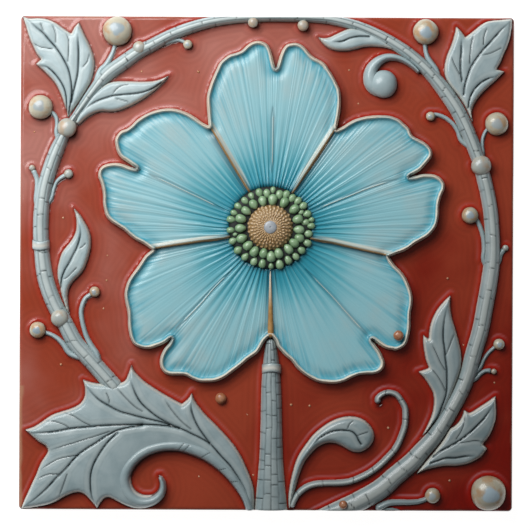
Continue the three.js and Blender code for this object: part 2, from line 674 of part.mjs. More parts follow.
// Everything that stands out of the ground, cut off just inside the tile's sides
function makeRelief() {
  const innerRing = DOME_RADIUS + INNER_BEAD_CLEARANCE + INNER_BEAD_LENGTH / 2;
  const outerRing = HUB_RADIUS + OUTER_BEAD_OVERHANG - OUTER_BEAD_LENGTH / 2;
  const forms = [
    ...PETALS.map(makePetal),
    ...PETALS.flatMap(makeRibs),
    makeLeaves(),
    sweptBar(SEAM_RIDGE, GROUND + LOWER_PETAL_RISE, () => LIP_HEIGHT),
    sweptBar(VINE, GROUND, () => VINE_RISE),
    sweptBar(STEM, GROUND, () => STEM_RISE),
    sweptBar(SCROLL, GROUND, () => VINE_RISE),
    sweptBar(TENDRIL, GROUND, () => TENDRIL_RISE),
    sweptBar(CURL, GROUND, () => CURL_RISE),
    ...STALKS.map((stalk) => sweptBar(stalk, GROUND, (width) => width * STALK_RISE_TO_WIDTH)),
    ...COLLARS.map((collar) => sweptBar(collar, GROUND + VINE_RISE, () => COLLAR_HEIGHT)),
    ...BERRIES.map(makeBerry),
    makeFlowerCentre(),
    makeBeadRing(INNER_BEAD_COUNT, innerRing, INNER_BEAD_LENGTH, INNER_BEAD_WIDTH),
    makeBeadRing(OUTER_BEAD_COUNT, outerRing, OUTER_BEAD_LENGTH, OUTER_BEAD_WIDTH),
  ];
  const plan = roundedSquare(TILE_SIDE - 2 * EDGE_SETBACK, PLAN_CORNER_RADIUS);
  const limit = new THREE.ExtrudeGeometry(plan, {
    depth: BODY_THICKNESS * 4,
    bevelEnabled: false,
  });
  return joinAll(forms).intersect(solidFrom(limit));
}

const glaze = new THREE.MeshStandardMaterial({
  name: 'glazed ceramic',
  color: 0x9c4436,
  roughness: 0.18,
  metalness: 0,
});

const fired = makeBody().add(makeRelief()).simplify(SLIVER);
const tile = new THREE.Mesh(geometryFrom(fired), glaze);
tile.name = 'tile';

const model = new THREE.Group();
model.add(tile);

export default model;
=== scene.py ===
"""A square majolica wall tile, seen from straight above on a pale studio floor.

The tile is one pressed and fired piece. A five-petalled flower stands in relief inside a
ring of vine, with leaves, curls and berries in the corners, under coloured glazes that
break pale over edges and pool dark in the cut veins, with painted highlights, painted
reflections and painted shade laid into them too. Sizes are millimetres until a mesh is
written, and the frame's metres after that. The frame's origin is the centre of the back.
"""

import logging
import math
from dataclasses import dataclass
from enum import Enum
from typing import Optional, Sequence, Union

import bpy
import numpy as np
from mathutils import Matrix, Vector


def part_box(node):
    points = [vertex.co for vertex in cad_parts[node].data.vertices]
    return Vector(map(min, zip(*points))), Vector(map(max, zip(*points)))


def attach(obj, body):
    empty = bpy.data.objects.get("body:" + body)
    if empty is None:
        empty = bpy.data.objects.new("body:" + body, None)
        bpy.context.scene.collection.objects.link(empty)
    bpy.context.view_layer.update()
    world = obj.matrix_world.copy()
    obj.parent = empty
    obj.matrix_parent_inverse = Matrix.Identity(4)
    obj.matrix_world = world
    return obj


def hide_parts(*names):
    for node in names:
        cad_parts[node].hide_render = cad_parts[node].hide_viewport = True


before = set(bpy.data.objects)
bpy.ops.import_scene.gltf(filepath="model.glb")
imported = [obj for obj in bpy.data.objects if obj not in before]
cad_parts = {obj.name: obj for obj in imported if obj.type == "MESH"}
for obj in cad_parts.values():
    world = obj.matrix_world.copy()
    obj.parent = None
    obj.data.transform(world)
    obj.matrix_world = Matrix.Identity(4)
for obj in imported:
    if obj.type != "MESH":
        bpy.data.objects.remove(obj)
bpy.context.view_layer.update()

log = logging.getLogger("tile")
logging.basicConfig(level=logging.INFO, format="%(name)s: %(message)s")

MM = 0.001
CAD_NODE = "tile"
BODY = "root"
# Farther than any gap that changes a shape or a glaze
FAR = 50.0

SIDE_MARGIN = 0.3
CUT_PRECISION = 1e-7
SMOOTH_UNDER = math.radians(60)

Array = np.ndarray
Piece = bpy.types.Object
Material = bpy.types.Material
Number = Union[int, float, "Wire"]
Colour = tuple[float, float, float]
Row = Union[tuple[float, float], tuple[float, float, bool]]
Points = Sequence[tuple[float, float]]
# A line's rows are x, y and a size there, such as a width or a radius
Line = Sequence[tuple[float, float, float]]

# In an outline, S after x and y marks a sharp corner; other points lie on a smooth curve
S = True


def srgb(red: int, green: int, blue: int) -> Colour:
    """Turns a colour as seen on a screen into the linear one that shaders take."""
    channels = (np.array([red, green, blue]) / 255) ** 2.2
    return tuple(float(channel) for channel in channels)


@dataclass(frozen=True)
class TileSizes:
    """The body's sizes and the heights of the relief above the glazed ground.

    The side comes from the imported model, and the rest follows the mould.
    """

    side: float
    ground: float = 9.0
    arris: float = 1.0
    root: float = 1.6
    vine_rise: float = 3.1
    stem_rise: float = 3.3
    leaf_rise: float = 2.4
    petal_floor: float = 2.5
    petal_lap: float = 0.45
    lip_height: float = 1.1
    hub_rise: float = 5.0
    flower_x: float = 1.1
    flower_y: float = 11.1

    @property
    def half(self) -> float:
        """Half the side."""
        return self.side / 2

    @property
    def below(self) -> float:
        """The level down to which each raised form is closed, inside the body."""
        return self.ground - self.root

    def edge_distance(self, x: Array, y: Array) -> Array:
        """How far points lie inside the tile's sides; negative outside."""
        return self.half - np.maximum(np.abs(x), np.abs(y))

    def arris_drop(self, x: Array, y: Array) -> Array:
        """How far the rounded arris takes the surface down at points near the sides."""
        inside = np.clip(self.edge_distance(x, y), 0, self.arris)
        across = self.arris - inside
        return self.arris - np.sqrt(np.maximum(self.arris**2 - across**2, 0))


def measured_sizes() -> TileSizes:
    """Reads the tile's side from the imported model's box."""
    low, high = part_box(CAD_NODE)
    return TileSizes(side=round((high.x - low.x) / MM, 2))


SIZES = measured_sizes()


# Lines and outlines


def spline(points: Array, step: float) -> Array:
    """Runs a smooth curve through points, without its last point.

    Args:
        points: Rows of x, y and any further values, such as a width.
        step: About how far apart the new points are.

    Returns:
        The rows of the curve, from the first point up to just before the last.
    """
    ends = np.vstack([2 * points[0] - points[1], points, 2 * points[-1] - points[-2]])
    rows = []
    for before, start, end, after in zip(ends, ends[1:], ends[2:], ends[3:]):
        count = max(1, round(float(np.hypot(*(end - start)[:2])) / step))
        share = (np.arange(count) / count)[:, None]
        knots = [0.0]
        for first, second in ((before, start), (start, end), (end, after)):
            chord = float(np.hypot(*(second - first)[:2]))
            knots.append(knots[-1] + max(math.sqrt(chord), 1e-3))
        place = knots[1] + (knots[2] - knots[1]) * share
        low = lerp_knots(before, start, knots[0], knots[1], place)
        middle = lerp_knots(start, end, knots[1], knots[2], place)
        high = lerp_knots(end, after, knots[2], knots[3], place)
        first = lerp_knots(low, middle, knots[0], knots[2], place)
        second = lerp_knots(middle, high, knots[1], knots[3], place)
        rows.append(lerp_knots(first, second, knots[1], knots[2], place))
    return np.vstack(rows)


def lerp_knots(
    first: Array, second: Array, low: float, high: float, place: Array
) -> Array:
    """Blends two rows by where place lies between two knots."""
    share = (place - low) / (high - low)
    return first * (1 - share) + second * share


def open_curve(points: Sequence[Sequence[float]], step: float) -> Array:
    """A smooth open curve through points, both ends included."""
    rows = np.array(points, float)
    return np.vstack([spline(rows, step), rows[-1:]])


def closed_outline(outline: Sequence[Row], step: float) -> Array:
    """A closed outline that is smooth between its sharp corners.

    Args:
        outline: Points in order, sharp corners marked with S.
        step: About how far apart the outline's points are.

    Returns:
        Rows of x and y; the last point isn't the first one again.
    """
    first = next(index for index, row in enumerate(outline) if len(row) > 2)
    turned = list(outline[first:]) + list(outline[:first]) + [outline[first]]
    rows, stretch = [], [turned[0][:2]]
    for row in turned[1:]:
        stretch.append(row[:2])
        if len(row) > 2:
            rows.append(spline(np.array(stretch, float), step))
            stretch = [row[:2]]
    return np.vstack(rows)


def nearest_on(
    line: Array, points: Array, closed: bool = False
) -> tuple[Array, Array]:
    """The nearest place on a line of short segments for each point.

    Args:
        line: Rows of x and y.
        points: Rows of x and y.
        closed: Whether the line's last point joins its first.

    Returns:
        One distance and one place for each point.
    """
    starts = line if closed else line[:-1]
    ends = np.roll(line, -1, axis=0) if closed else line[1:]
    nearest = np.full(len(points), np.inf)
    spots = np.zeros((len(points), 2))
    for start, edge in zip(starts, ends - starts):
        share = held(((points - start) @ edge) / max(edge @ edge, 1e-12))
        spot = start + share[:, None] * edge
        gap = ((points - spot) ** 2).sum(1)
        closer = gap < nearest
        nearest[closer] = gap[closer]
        spots[closer] = spot[closer]
    return np.sqrt(nearest), spots


def distance_to(line: Array, points: Array, closed: bool = False) -> Array:
    """The distance from each point to a line of short segments."""
    return nearest_on(line, points, closed)[0]


def distance_along(line: Array, points: Array) -> tuple[Array, Array]:
    """The distance from each point to an open line, and how far along it that is, 0 to 1."""
    gap, spot = nearest_on(line, points)
    to_start = np.hypot(*(spot - line[0]).T)
    to_end = np.hypot(*(spot - line[-1]).T)
    return gap, to_start / np.maximum(to_start + to_end, 1e-9)


def points_inside(outline: Array, points: Array) -> Array:
    """Which points lie inside a closed outline."""
    inside = np.zeros(len(points), bool)
    for start, end in zip(outline, np.roll(outline, -1, axis=0)):
        if start[1] == end[1]:
            continue
        crosses = (start[1] > points[:, 1]) != (end[1] > points[:, 1])
        place = start[0] + (points[:, 1] - start[1]) / (end[1] - start[1]) * (end[0] - start[0])
        inside ^= crosses & (points[:, 0] < place)
    return inside


def held(values: Array) -> Array:
    """Values kept between 0 and 1."""
    return np.clip(values, 0, 1)


def eased(share: Array) -> Array:
    """Shares from 0 to 1 that start and end gently."""
    return share * share * (3 - 2 * share)


def noise_line(rng: np.random.Generator, count: int, octaves: Sequence[int]) -> Array:
    """A smooth random line of values from about -1 to 1, summed over octaves of waves."""
    place = np.linspace(0, 1, count)
    total = np.zeros(count)
    for waves in octaves:
        knots = rng.uniform(-1, 1, waves + 1)
        turn = place * waves
        before = np.minimum(turn.astype(int), waves - 1)
        share = turn - before
        share = eased(share)
        total += knots[before] * (1 - share) + knots[before + 1] * share
    return total / max(len(octaves), 1) ** 0.5


def bump_at(distance: Array, width: float) -> Array:
    """A soft ridge: 1 on the line, and almost 0 two widths away."""
    return np.exp(-((distance / width) ** 2))


# Meshes by hand


def deselect_everything() -> None:
    """Leaves nothing selected and no object in edit mode."""
    if bpy.context.object and bpy.context.object.mode != "OBJECT":
        bpy.ops.object.mode_set(mode="OBJECT")
    bpy.ops.object.select_all(action="DESELECT")


def select_only(piece: Piece) -> None:
    """Makes one piece the selected and the active one, in object mode."""
    deselect_everything()
    piece.select_set(True)
    bpy.context.view_layer.objects.active = piece


def read_points(piece: Piece) -> Array:
    """The piece's vertices in millimetres, as rows of x, y, z."""
    flat = np.zeros(len(piece.data.vertices) * 3)
    piece.data.vertices.foreach_get("co", flat)
    return flat.reshape(-1, 3) / MM


def write_points(piece: Piece, points: Array) -> None:
    """Moves the piece's vertices to rows of x, y, z in millimetres."""
    piece.data.vertices.foreach_set("co", (points * MM).ravel())
    piece.data.update()


def paint(piece: Piece, **looks: Array) -> None:
    """Stores numbers on the vertices for the glaze to read, one set for each named look."""
    for name, values in looks.items():
        attribute = piece.data.attributes.new(name, "FLOAT", "POINT")
        attribute.data.foreach_set("value", held(values).astype(np.float32))


def add_grid(name: str, across: int, along: int) -> tuple:
    """Adds a flat grid, ready to be drawn out into a form.

    Args:
        name: The piece's name.
        across: How many cells lie across it.
        along: How many cells lie along it.

    Returns:
        The object, and each vertex's column and row in the grid.
    """
    deselect_everything()
    bpy.ops.mesh.primitive_grid_add(x_subdivisions=across, y_subdivisions=along, size=2)
    piece = bpy.context.object
    piece.name = name
    piece.data.name = name
    points = read_points(piece) * MM
    column = np.rint((points[:, 0] + 1) / 2 * across).astype(int)
    row = np.rint((points[:, 1] + 1) / 2 * along).astype(int)
    return piece, column, row


def select_vertices(piece: Piece, chosen: Array) -> None:
    """Selects the chosen vertices and nothing else, in object mode."""
    mesh = piece.data
    mesh.polygons.foreach_set("select", np.zeros(len(mesh.polygons), bool))
    mesh.edges.foreach_set("select", np.zeros(len(mesh.edges), bool))
    mesh.vertices.foreach_set("select", chosen)


def delete_vertices(piece: Piece, unwanted: Array) -> None:
    """Cuts away the unwanted vertices with the faces that use them."""
    select_vertices(piece, unwanted)
    bpy.ops.object.mode_set(mode="EDIT")
    bpy.ops.mesh.select_mode(type="VERT")
    bpy.ops.mesh.delete(type="VERT")
    bpy.ops.mesh.select_all(action="SELECT")
    bpy.ops.mesh.delete_loose(use_verts=True, use_edges=True, use_faces=False)
    bpy.ops.object.mode_set(mode="OBJECT")


def close_below(piece: Piece) -> None:
    """Draws the open border straight down into the body and fills it, so the form is solid."""
    bpy.ops.object.mode_set(mode="EDIT")
    bpy.ops.mesh.select_mode(type="EDGE")
    bpy.ops.mesh.select_all(action="DESELECT")
    bpy.ops.mesh.select_non_manifold()
    bpy.ops.mesh.extrude_region_move()
    bpy.ops.transform.resize(value=(1, 1, 0), center_override=(0, 0, SIZES.below * MM))
    bpy.ops.mesh.edge_face_add()
    bpy.ops.mesh.select_all(action="SELECT")
    bpy.ops.mesh.fill_holes(sides=0)
    bpy.ops.mesh.normals_make_consistent(inside=False)
    bpy.ops.object.mode_set(mode="OBJECT")


def trim_to_sides(piece: Piece) -> None:
    """Cuts off what runs past the tile's sides and closes the cuts."""
    limit = SIZES.half - SIDE_MARGIN
    points = read_points(piece)
    bpy.ops.object.mode_set(mode="EDIT")
    for axis in (0, 1):
        for sign in (-1, 1):
            if (points[:, axis] * sign).max() <= limit:
                continue
            normal = [0.0, 0.0, 0.0]
            normal[axis] = float(sign)
            place = [value * limit * MM for value in normal]
            bpy.ops.mesh.select_all(action="SELECT")
            bpy.ops.mesh.bisect(
                plane_co=place, plane_no=normal, use_fill=True, clear_outer=True, threshold=CUT_PRECISION
            )
    bpy.ops.object.mode_set(mode="OBJECT")


def join_pieces(name: str, parts: Sequence[Piece]) -> Piece:
    """Joins parts into one piece with its place in its mesh."""
    deselect_everything()
    for part in parts:
        part.select_set(True)
    bpy.context.view_layer.objects.active = parts[0]
    if len(parts) > 1:
        bpy.ops.object.join()
    bpy.ops.object.transform_apply(location=True, rotation=True, scale=True)
    piece = bpy.context.object
    piece.name = name
    piece.data.name = name
    return piece


def finish_piece(piece: Piece, material: Material) -> None:
    """Smooths, glazes and registers a finished piece, and reports it.

    Args:
        piece: The finished mesh object.
        material: Its glaze.
    """
    select_only(piece)
    bpy.ops.object.shade_smooth_by_angle(angle=SMOOTH_UNDER)
    piece.data.materials.clear()
    piece.data.materials.append(material)
    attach(piece, BODY)
    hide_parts(CAD_NODE)
    triangles = sum(len(face.vertices) - 2 for face in piece.data.polygons)
    log.info("%s: %d triangles, %s", piece.name, triangles, piece.data.materials[0].name)


# Glazes


class Wire:
    """A socket's value in a shader, with the operators that the glazes use."""

    def __init__(self, recipe: "Recipe", socket: bpy.types.NodeSocket) -> None:
        """Wraps an output socket of a recipe's node."""
        self.recipe = recipe
        self.socket = socket

    def _with(self, operation: str, *others: Number, clamp: bool = False) -> "Wire":
        """Adds a Math node that works on this value and others."""
        settings = {"operation": operation, "use_clamp": clamp}
        return self.recipe.node("ShaderNodeMath", settings, dict(enumerate((self, *others))))

    def __add__(self, other: Number) -> "Wire":
        """This value plus another."""
        return self._with("ADD", other)

    __radd__ = __add__

    def __mul__(self, other: Number) -> "Wire":
        """This value times another."""
        return self._with("MULTIPLY", other)

    __rmul__ = __mul__

    def __sub__(self, other: Number) -> "Wire":
        """This value less another."""
        return self._with("SUBTRACT", other)

    def __rsub__(self, other: Number) -> "Wire":
        """Another value less this one."""
        return self.recipe.node(
            "ShaderNodeMath", {"operation": "SUBTRACT"}, {0: other, 1: self}
        )

    def held(self) -> "Wire":
        """This value kept between 0 and 1."""
        return self._with("ADD", 0.0, clamp=True)

    def between(self, low: float, high: float) -> "Wire":
        """0 at or under low, 1 at or over high, and smooth between."""
        settings = {"interpolation_type": "SMOOTHSTEP", "clamp": True}
        values = {0: self, 1: low, 2: high, 3: 0.0, 4: 1.0}
        return self.recipe.node("ShaderNodeMapRange", settings, values)


class Recipe:
    """A material that is being mixed: its node tree and its glossy shader."""

    def __init__(self, name: str) -> None:
        """Starts an empty material with one shader on its output."""
        self.material = bpy.data.materials.new(name)
        self.material.use_nodes = True
        self.tree = self.material.node_tree
        self.tree.nodes.clear()
        self.shader = self.tree.nodes.new("ShaderNodeBsdfPrincipled")
        output = self.tree.nodes.new("ShaderNodeOutputMaterial")
        self.tree.links.new(self.shader.outputs[0], output.inputs[0])

    def node(self, kind: str, settings: dict, inputs: dict, output: Union[int, str] = 0) -> Wire:
        """Adds any node.

        Args:
            kind: The node's type.
            settings: Its properties, set before its sockets; a ramp takes its stops here.
            inputs: A value or a wire for each socket, by index or name.
            output: The output socket to return.

        Returns:
            The chosen output.
        """
        node = self.tree.nodes.new(kind)
        for name, value in settings.items():
            setattr(node, name, value)
        for key, value in inputs.items():
            if isinstance(value, Wire):
                self.tree.links.new(value.socket, node.inputs[key])
            else:
                node.inputs[key].default_value = value
        return Wire(self, node.outputs[output])

    def place(self) -> Wire:
        """The place on the object, in metres."""
        return self.node("ShaderNodeTexCoord", {}, {}, "Object")

    def painted(self, name: str) -> Wire:
        """A number that the form's mesh holds on each vertex."""
        return self.node("ShaderNodeAttribute", {"attribute_name": name}, {}, "Fac")

    def noise(self, size_mm: float, detail: float = 3.0) -> Wire:
        """Soft noise whose blotches are about size_mm wide."""
        values = {"Vector": self.place(), "Scale": 1 / (size_mm * MM), "Detail": detail}
        return self.node("ShaderNodeTexNoise", {}, values)

    def mix(self, share: Number, first: Union[Colour, Wire], second: Union[Colour, Wire]) -> Wire:
        """Blends two colours; share 0 gives the first."""
        colours = [value if isinstance(value, Wire) else (*value, 1) for value in (first, second)]
        values = {0: share, 6: colours[0], 7: colours[1]}
        return self.node("ShaderNodeMix", {"data_type": "RGBA", "clamp_factor": True}, values, 2)

    def colour(self, wire: Wire) -> None:
        """Gives the shader its colour."""
        self.tree.links.new(wire.socket, self.shader.inputs["Base Color"])

    def finish(self, roughness: Number, coat: float, specular: float = 0.5) -> None:
        """Sets how the surface shines."""
        if isinstance(roughness, Wire):
            self.tree.links.new(roughness.socket, self.shader.inputs["Roughness"])
        else:
            self.shader.inputs["Roughness"].default_value = roughness
        self.shader.inputs["Coat Weight"].default_value = coat
        self.shader.inputs["Coat Roughness"].default_value = 0.06
        self.shader.inputs["Specular IOR Level"].default_value = specular

    def slope(self) -> Wire:
        """A value that rises from the tile's upper left to its lower right, 0.5 in the middle, with which
        the glazes paint the key light's fall-off as painted sheen and painted shade.
        """
        x = self.node("ShaderNodeSeparateXYZ", {}, {0: self.place()}, 0)
        y = self.node("ShaderNodeSeparateXYZ", {}, {0: self.place()}, 1)
        return x * 3.0 - y * 3.3 + 0.5

    def bump(self, height: Wire, depth_mm: float) -> None:
        """Roughens the surface by a height from 0 to 1 that is depth_mm deep."""
        values = {"Height": height, "Distance": depth_mm * MM, "Strength": 1.0}
        bumped = self.node("ShaderNodeBump", {}, values)
        self.tree.links.new(bumped.socket, self.shader.inputs["Normal"])


@dataclass(frozen=True)
class Glaze:
    """A coloured glaze that breaks thin over edges and pools dark in hollows, with painted shade towards
    the tile's lower right, and on some pieces painted highlights and painted shade in its edge and pool
    values.
    """

    name: str
    body: Colour
    second: Colour
    # thin is also the colour of painted highlights, and deep also that of painted shade
    thin: Colour
    deep: Colour
    mottle_mm: float = 6.0
    roughness: float = 0.3
    coat: float = 0.15
    grain: float = 0.04
    # How strongly painted shade darkens the glaze towards the tile's lower right, where the key light
    # falls off
    falloff_shade: float = 0.0

    def mixed(self) -> Material:
        """Mixes the glaze."""
        recipe = Recipe(self.name)
        clouds = recipe.noise(self.mottle_mm).between(0.35, 0.68)
        specks = recipe.noise(0.7, 2.0)
        edge = recipe.painted("edge")
        pool = recipe.painted("pool")
        body = recipe.mix(clouds, self.body, self.second)
        # Painted shade: darker towards the tile's lower right, as the key light falls off
        body = recipe.mix(recipe.slope().between(0.1, 1.1) * self.falloff_shade, body, self.deep)
        # The edge value is thin glaze, and on some pieces a painted highlight; the pool value is glaze in
        # hollows and painted shade
        worn = (edge * (0.85 + specks * 0.3)).held()
        thinned_and_lit = recipe.mix(worn, body, self.thin)
        pooled = recipe.mix((pool * (0.9 + specks * 0.25)).held(), thinned_and_lit, self.deep)
        recipe.colour(pooled)
        recipe.finish(self.roughness + 0.12 * specks, self.coat)
        recipe.bump(recipe.noise(1.1, 3.0), self.grain)
        return recipe.material


@dataclass(frozen=True)
class PetalGlaze:
    """Turquoise that is deep at the flower's heart and under the lip, and pale between; the lip band is
    deeper glaze with painted shade, and painted shade lies by the hub, under lapping neighbours, beside
    the vein and towards the tile's lower right.
    """

    name: str = "petal_turquoise"
    heart: Colour = srgb(34, 128, 146)
    middle: Colour = srgb(98, 170, 181)
    pale: Colour = srgb(138, 186, 194)
    ashen: Colour = srgb(152, 182, 185)
    # under_lip is the hatching's colour, and also painted shade under the lip and towards the tile's
    # lower right
    under_lip: Colour = srgb(54, 148, 168)
    lip: Colour = srgb(208, 198, 180)
    seam: Colour = srgb(150, 112, 64)
    # deep is painted shade: under lapping neighbours, by the hub, beside the vein, on the lip's outer
    # wall and in the notch
    deep: Colour = srgb(8, 56, 72)

    def mixed(self) -> Material:
        """Mixes the glaze from the petal's own values, painted on its vertices."""
        recipe = Recipe(self.name)
        along = recipe.painted("along")
        ridge = recipe.painted("ridge")
        streak = recipe.painted("streak")
        clouds = recipe.noise(9.0, 2.0)
        reach = along + 0.3 * (clouds - 0.5) + 0.3 * (ridge - 0.5) * (1 - along)
        reach = reach + 0.16 * (streak - 0.5)
        calm = along.between(0.25, 0.5) * (1 - along.between(0.72, 0.95))
        inner = recipe.mix(reach.between(0.0, 0.36), self.heart, self.middle)
        outer = recipe.mix(reach.between(0.26, 0.62), inner, self.pale)
        greyed = recipe.mix(reach.between(0.5, 0.9) * clouds.between(0.3, 0.7), outer, self.ashen)
        furrow = (1 - ridge) * (1 - along.between(0.05, 0.8)) * 0.8
        furrowed = recipe.mix(furrow.held(), greyed, self.heart)
        hatching = (1 - streak).between(0.45, 0.95) * (0.55 - 0.38 * calm)
        hatched = recipe.mix(hatching, furrowed, self.under_lip)
        # Painted shade towards the tile's lower right, as the key light falls off
        hatched = recipe.mix(recipe.slope().between(0.1, 1.1) * 0.2, hatched, self.under_lip)
        # The rim band: deeper glaze under the lip with painted shade there, and painted shade in the
        # notch
        rimmed = recipe.mix(recipe.painted("rim").between(0.2, 1.0) * 0.9, hatched, self.under_lip)
        # Painted shade from the petal's pool value
        pooled = recipe.mix(recipe.painted("pool"), rimmed, self.deep)
        lipped = recipe.mix(recipe.painted("edge"), pooled, self.lip)
        veined = recipe.mix(recipe.painted("vein") * 0.6, lipped, self.lip)
        recipe.colour(recipe.mix(recipe.painted("seam"), veined, self.seam))
        recipe.finish(0.34 + 0.1 * recipe.noise(0.9, 2.0), 0.1)
        recipe.bump(streak, 0.06)
        return recipe.material


@dataclass(frozen=True)
class GroundGlaze:
    """Brick red with painted sheen at the upper left and painted shade towards the lower right, in broad
    clouds; brightest at the forms' foot, thick glaze with painted light on their upper sides; a painted
    highlight beyond them, painted shadow below them, and thin at the arris.
    """

    name: str = "ground_brick_red"
    # Painted sheen at the upper left; dark is painted shade towards the lower right
    painted_sheen: Colour = srgb(170, 112, 102)
    body: Colour = srgb(146, 62, 42)
    dark: Colour = srgb(110, 18, 2)
    # The red at the forms' foot, thick glaze with painted light on their upper sides, and the pale rose
    # of a painted highlight beyond them
    bright: Colour = srgb(172, 26, 8)
    highlight_rose: Colour = srgb(206, 164, 172)
    buff: Colour = srgb(166, 122, 96)
    # The dark of the faint rings, of the arris line and of the painted shadow against the forms
    line: Colour = srgb(34, 14, 10)

    def mixed(self) -> Material:
        """Mixes the glaze from the ground's own foot, painted highlight, ring, worn edge and dark-line
        values, the dark line holding painted shadow.
        """
        recipe = Recipe(self.name)
        # Painted sheen at the upper left and painted shade towards the lower right, broken into broad
        # clouds
        slope = recipe.slope() + (recipe.noise(30.0, 3.0) - 0.5) * 0.9
        body = recipe.mix(slope.between(0.0, 0.5), self.painted_sheen, self.body)
        shaded = recipe.mix(slope.between(0.5, 1.1), body, self.dark)
        streaked = recipe.mix(recipe.painted("streak") * 0.22, shaded, self.line)
        # The red at the forms' foot, weaker towards the upper left
        foot = recipe.painted("foot") * (0.35 + 0.65 * slope.between(0.0, 0.5))
        lively = recipe.mix(foot, streaked, self.bright)
        # The painted highlight line beyond the forms' upper sides
        crested = recipe.mix(recipe.painted("crest"), lively, self.highlight_rose)
        worn = recipe.mix(recipe.painted("edge"), crested, self.buff)
        # The dark line at the arris and against the forms, with painted shadow on their lower sides
        recipe.colour(recipe.mix(recipe.painted("pool"), worn, self.line))
        recipe.finish(0.14 + 0.1 * recipe.noise(5.0, 2.0), 0.2, 0.25)
        ripple = recipe.noise(7.0, 1.0) * 0.8 + recipe.noise(0.6, 2.0) * 0.06
        recipe.bump(ripple, 0.12)
        return recipe.material


@dataclass(frozen=True)
class BareClay:
    """The unglazed biscuit of the back and the lower sides."""

    name: str = "bare_clay"
    body: Colour = srgb(196, 168, 138)
    dark: Colour = srgb(150, 120, 94)

    def mixed(self) -> Material:
        """Mixes the clay."""
        recipe = Recipe(self.name)
        clouds = recipe.noise(14.0, 4.0).between(0.35, 0.7)
        specks = recipe.noise(0.35, 2.0)
        colour = recipe.mix(clouds * 0.6 + specks.between(0.6, 0.75) * 0.4, self.body, self.dark)
        recipe.colour(colour)
        recipe.finish(0.85, 0.0, 0.3)
        recipe.bump(recipe.noise(0.5, 4.0), 0.12)
        return recipe.material


@dataclass(frozen=True)
class BerryGlaze:
    """Cream with tan patches, a pale blue painted reflection on top, and painted shade on the lower part
    and towards the tile's lower right.
    """

    name: str
    cream: Colour = srgb(186, 180, 160)
    tan: Colour = srgb(184, 142, 100)
    # The colour of the painted reflection on top; deep is the painted shade
    painted_reflection: Colour = srgb(144, 162, 172)
    deep: Colour = srgb(50, 48, 42)
    patch_mm: float = 3.2
    patchy: float = 0.75

    def mixed(self) -> Material:
        """Mixes the glaze; the edge value holds the painted reflection, the pool value the painted shade
        on the lower part.
        """
        recipe = Recipe(self.name)
        patches = recipe.noise(self.patch_mm, 3.0).between(0.45, 0.66)
        blotches = recipe.mix(patches * self.patchy, self.cream, self.tan)
        # Painted shade towards the tile's lower right, as the key light falls off
        blotches = recipe.mix(recipe.slope().between(0.1, 1.1) * 0.4, blotches, self.deep)
        topped = recipe.mix(recipe.painted("edge"), blotches, self.painted_reflection)
        recipe.colour(recipe.mix(recipe.painted("pool"), topped, self.deep))
        recipe.finish(0.3, 0.15)
        recipe.bump(recipe.noise(0.9, 3.0), 0.05)
        return recipe.material


def grey_blue(name: str) -> Glaze:
    """The pale grey-blue of the leaves, the vine and the stem."""
    return Glaze(
        name,
        body=srgb(170, 188, 191),
        second=srgb(154, 174, 178),
        thin=srgb(212, 208, 196),
        deep=srgb(16, 30, 32),
        falloff_shade=0.6,
    )


class Finishes:
    """Every glaze of the tile, mixed once."""

    def __init__(self) -> None:
        """Mixes the glazes."""
        self.clay = BareClay().mixed()
        self.ground = GroundGlaze().mixed()
        self.petal = PetalGlaze().mixed()
        self.leaf = grey_blue("leaf_grey_blue").mixed()
        self.vine = grey_blue("vine_grey_blue").mixed()
        self.ridge = Glaze(
            "seam_cream_to_brown", body=srgb(150, 110, 60), second=srgb(170, 130, 80),
            thin=srgb(228, 218, 200), deep=srgb(88, 58, 26), mottle_mm=2.0,
        ).mixed()
        self.bead = Glaze(
            "bead_sage", body=srgb(108, 142, 102), second=srgb(122, 154, 116), thin=srgb(160, 184, 150),
            deep=srgb(12, 24, 20), mottle_mm=1.6, roughness=0.26, coat=0.25,
        ).mixed()
        self.hub = Glaze(
            "hub_dark_green", body=srgb(20, 36, 30), second=srgb(14, 26, 22), thin=srgb(40, 58, 48),
            deep=srgb(8, 14, 12), roughness=0.6, coat=0.0,
        ).mixed()
        self.dome = Glaze(
            "dome_gold", body=srgb(178, 148, 106), second=srgb(160, 126, 80), thin=srgb(232, 214, 186),
            deep=srgb(84, 60, 30), mottle_mm=1.4,
        ).mixed()
        self.cap = Glaze(
            "cap_pearl", body=srgb(150, 156, 162), second=srgb(140, 146, 152), thin=srgb(176, 182, 186),
            deep=srgb(66, 66, 72), mottle_mm=1.2,
        ).mixed()
        self.berry = BerryGlaze("berry_cream").mixed()
        self.knot = BerryGlaze("knot_cream", cream=srgb(172, 176, 168), patchy=0.55).mixed()
        self.peach = BerryGlaze(
            "berry_peach", cream=srgb(172, 112, 78), tan=srgb(142, 76, 48), painted_reflection=srgb(200, 156, 126),
            patch_mm=1.6,
        ).mixed()


# The flower


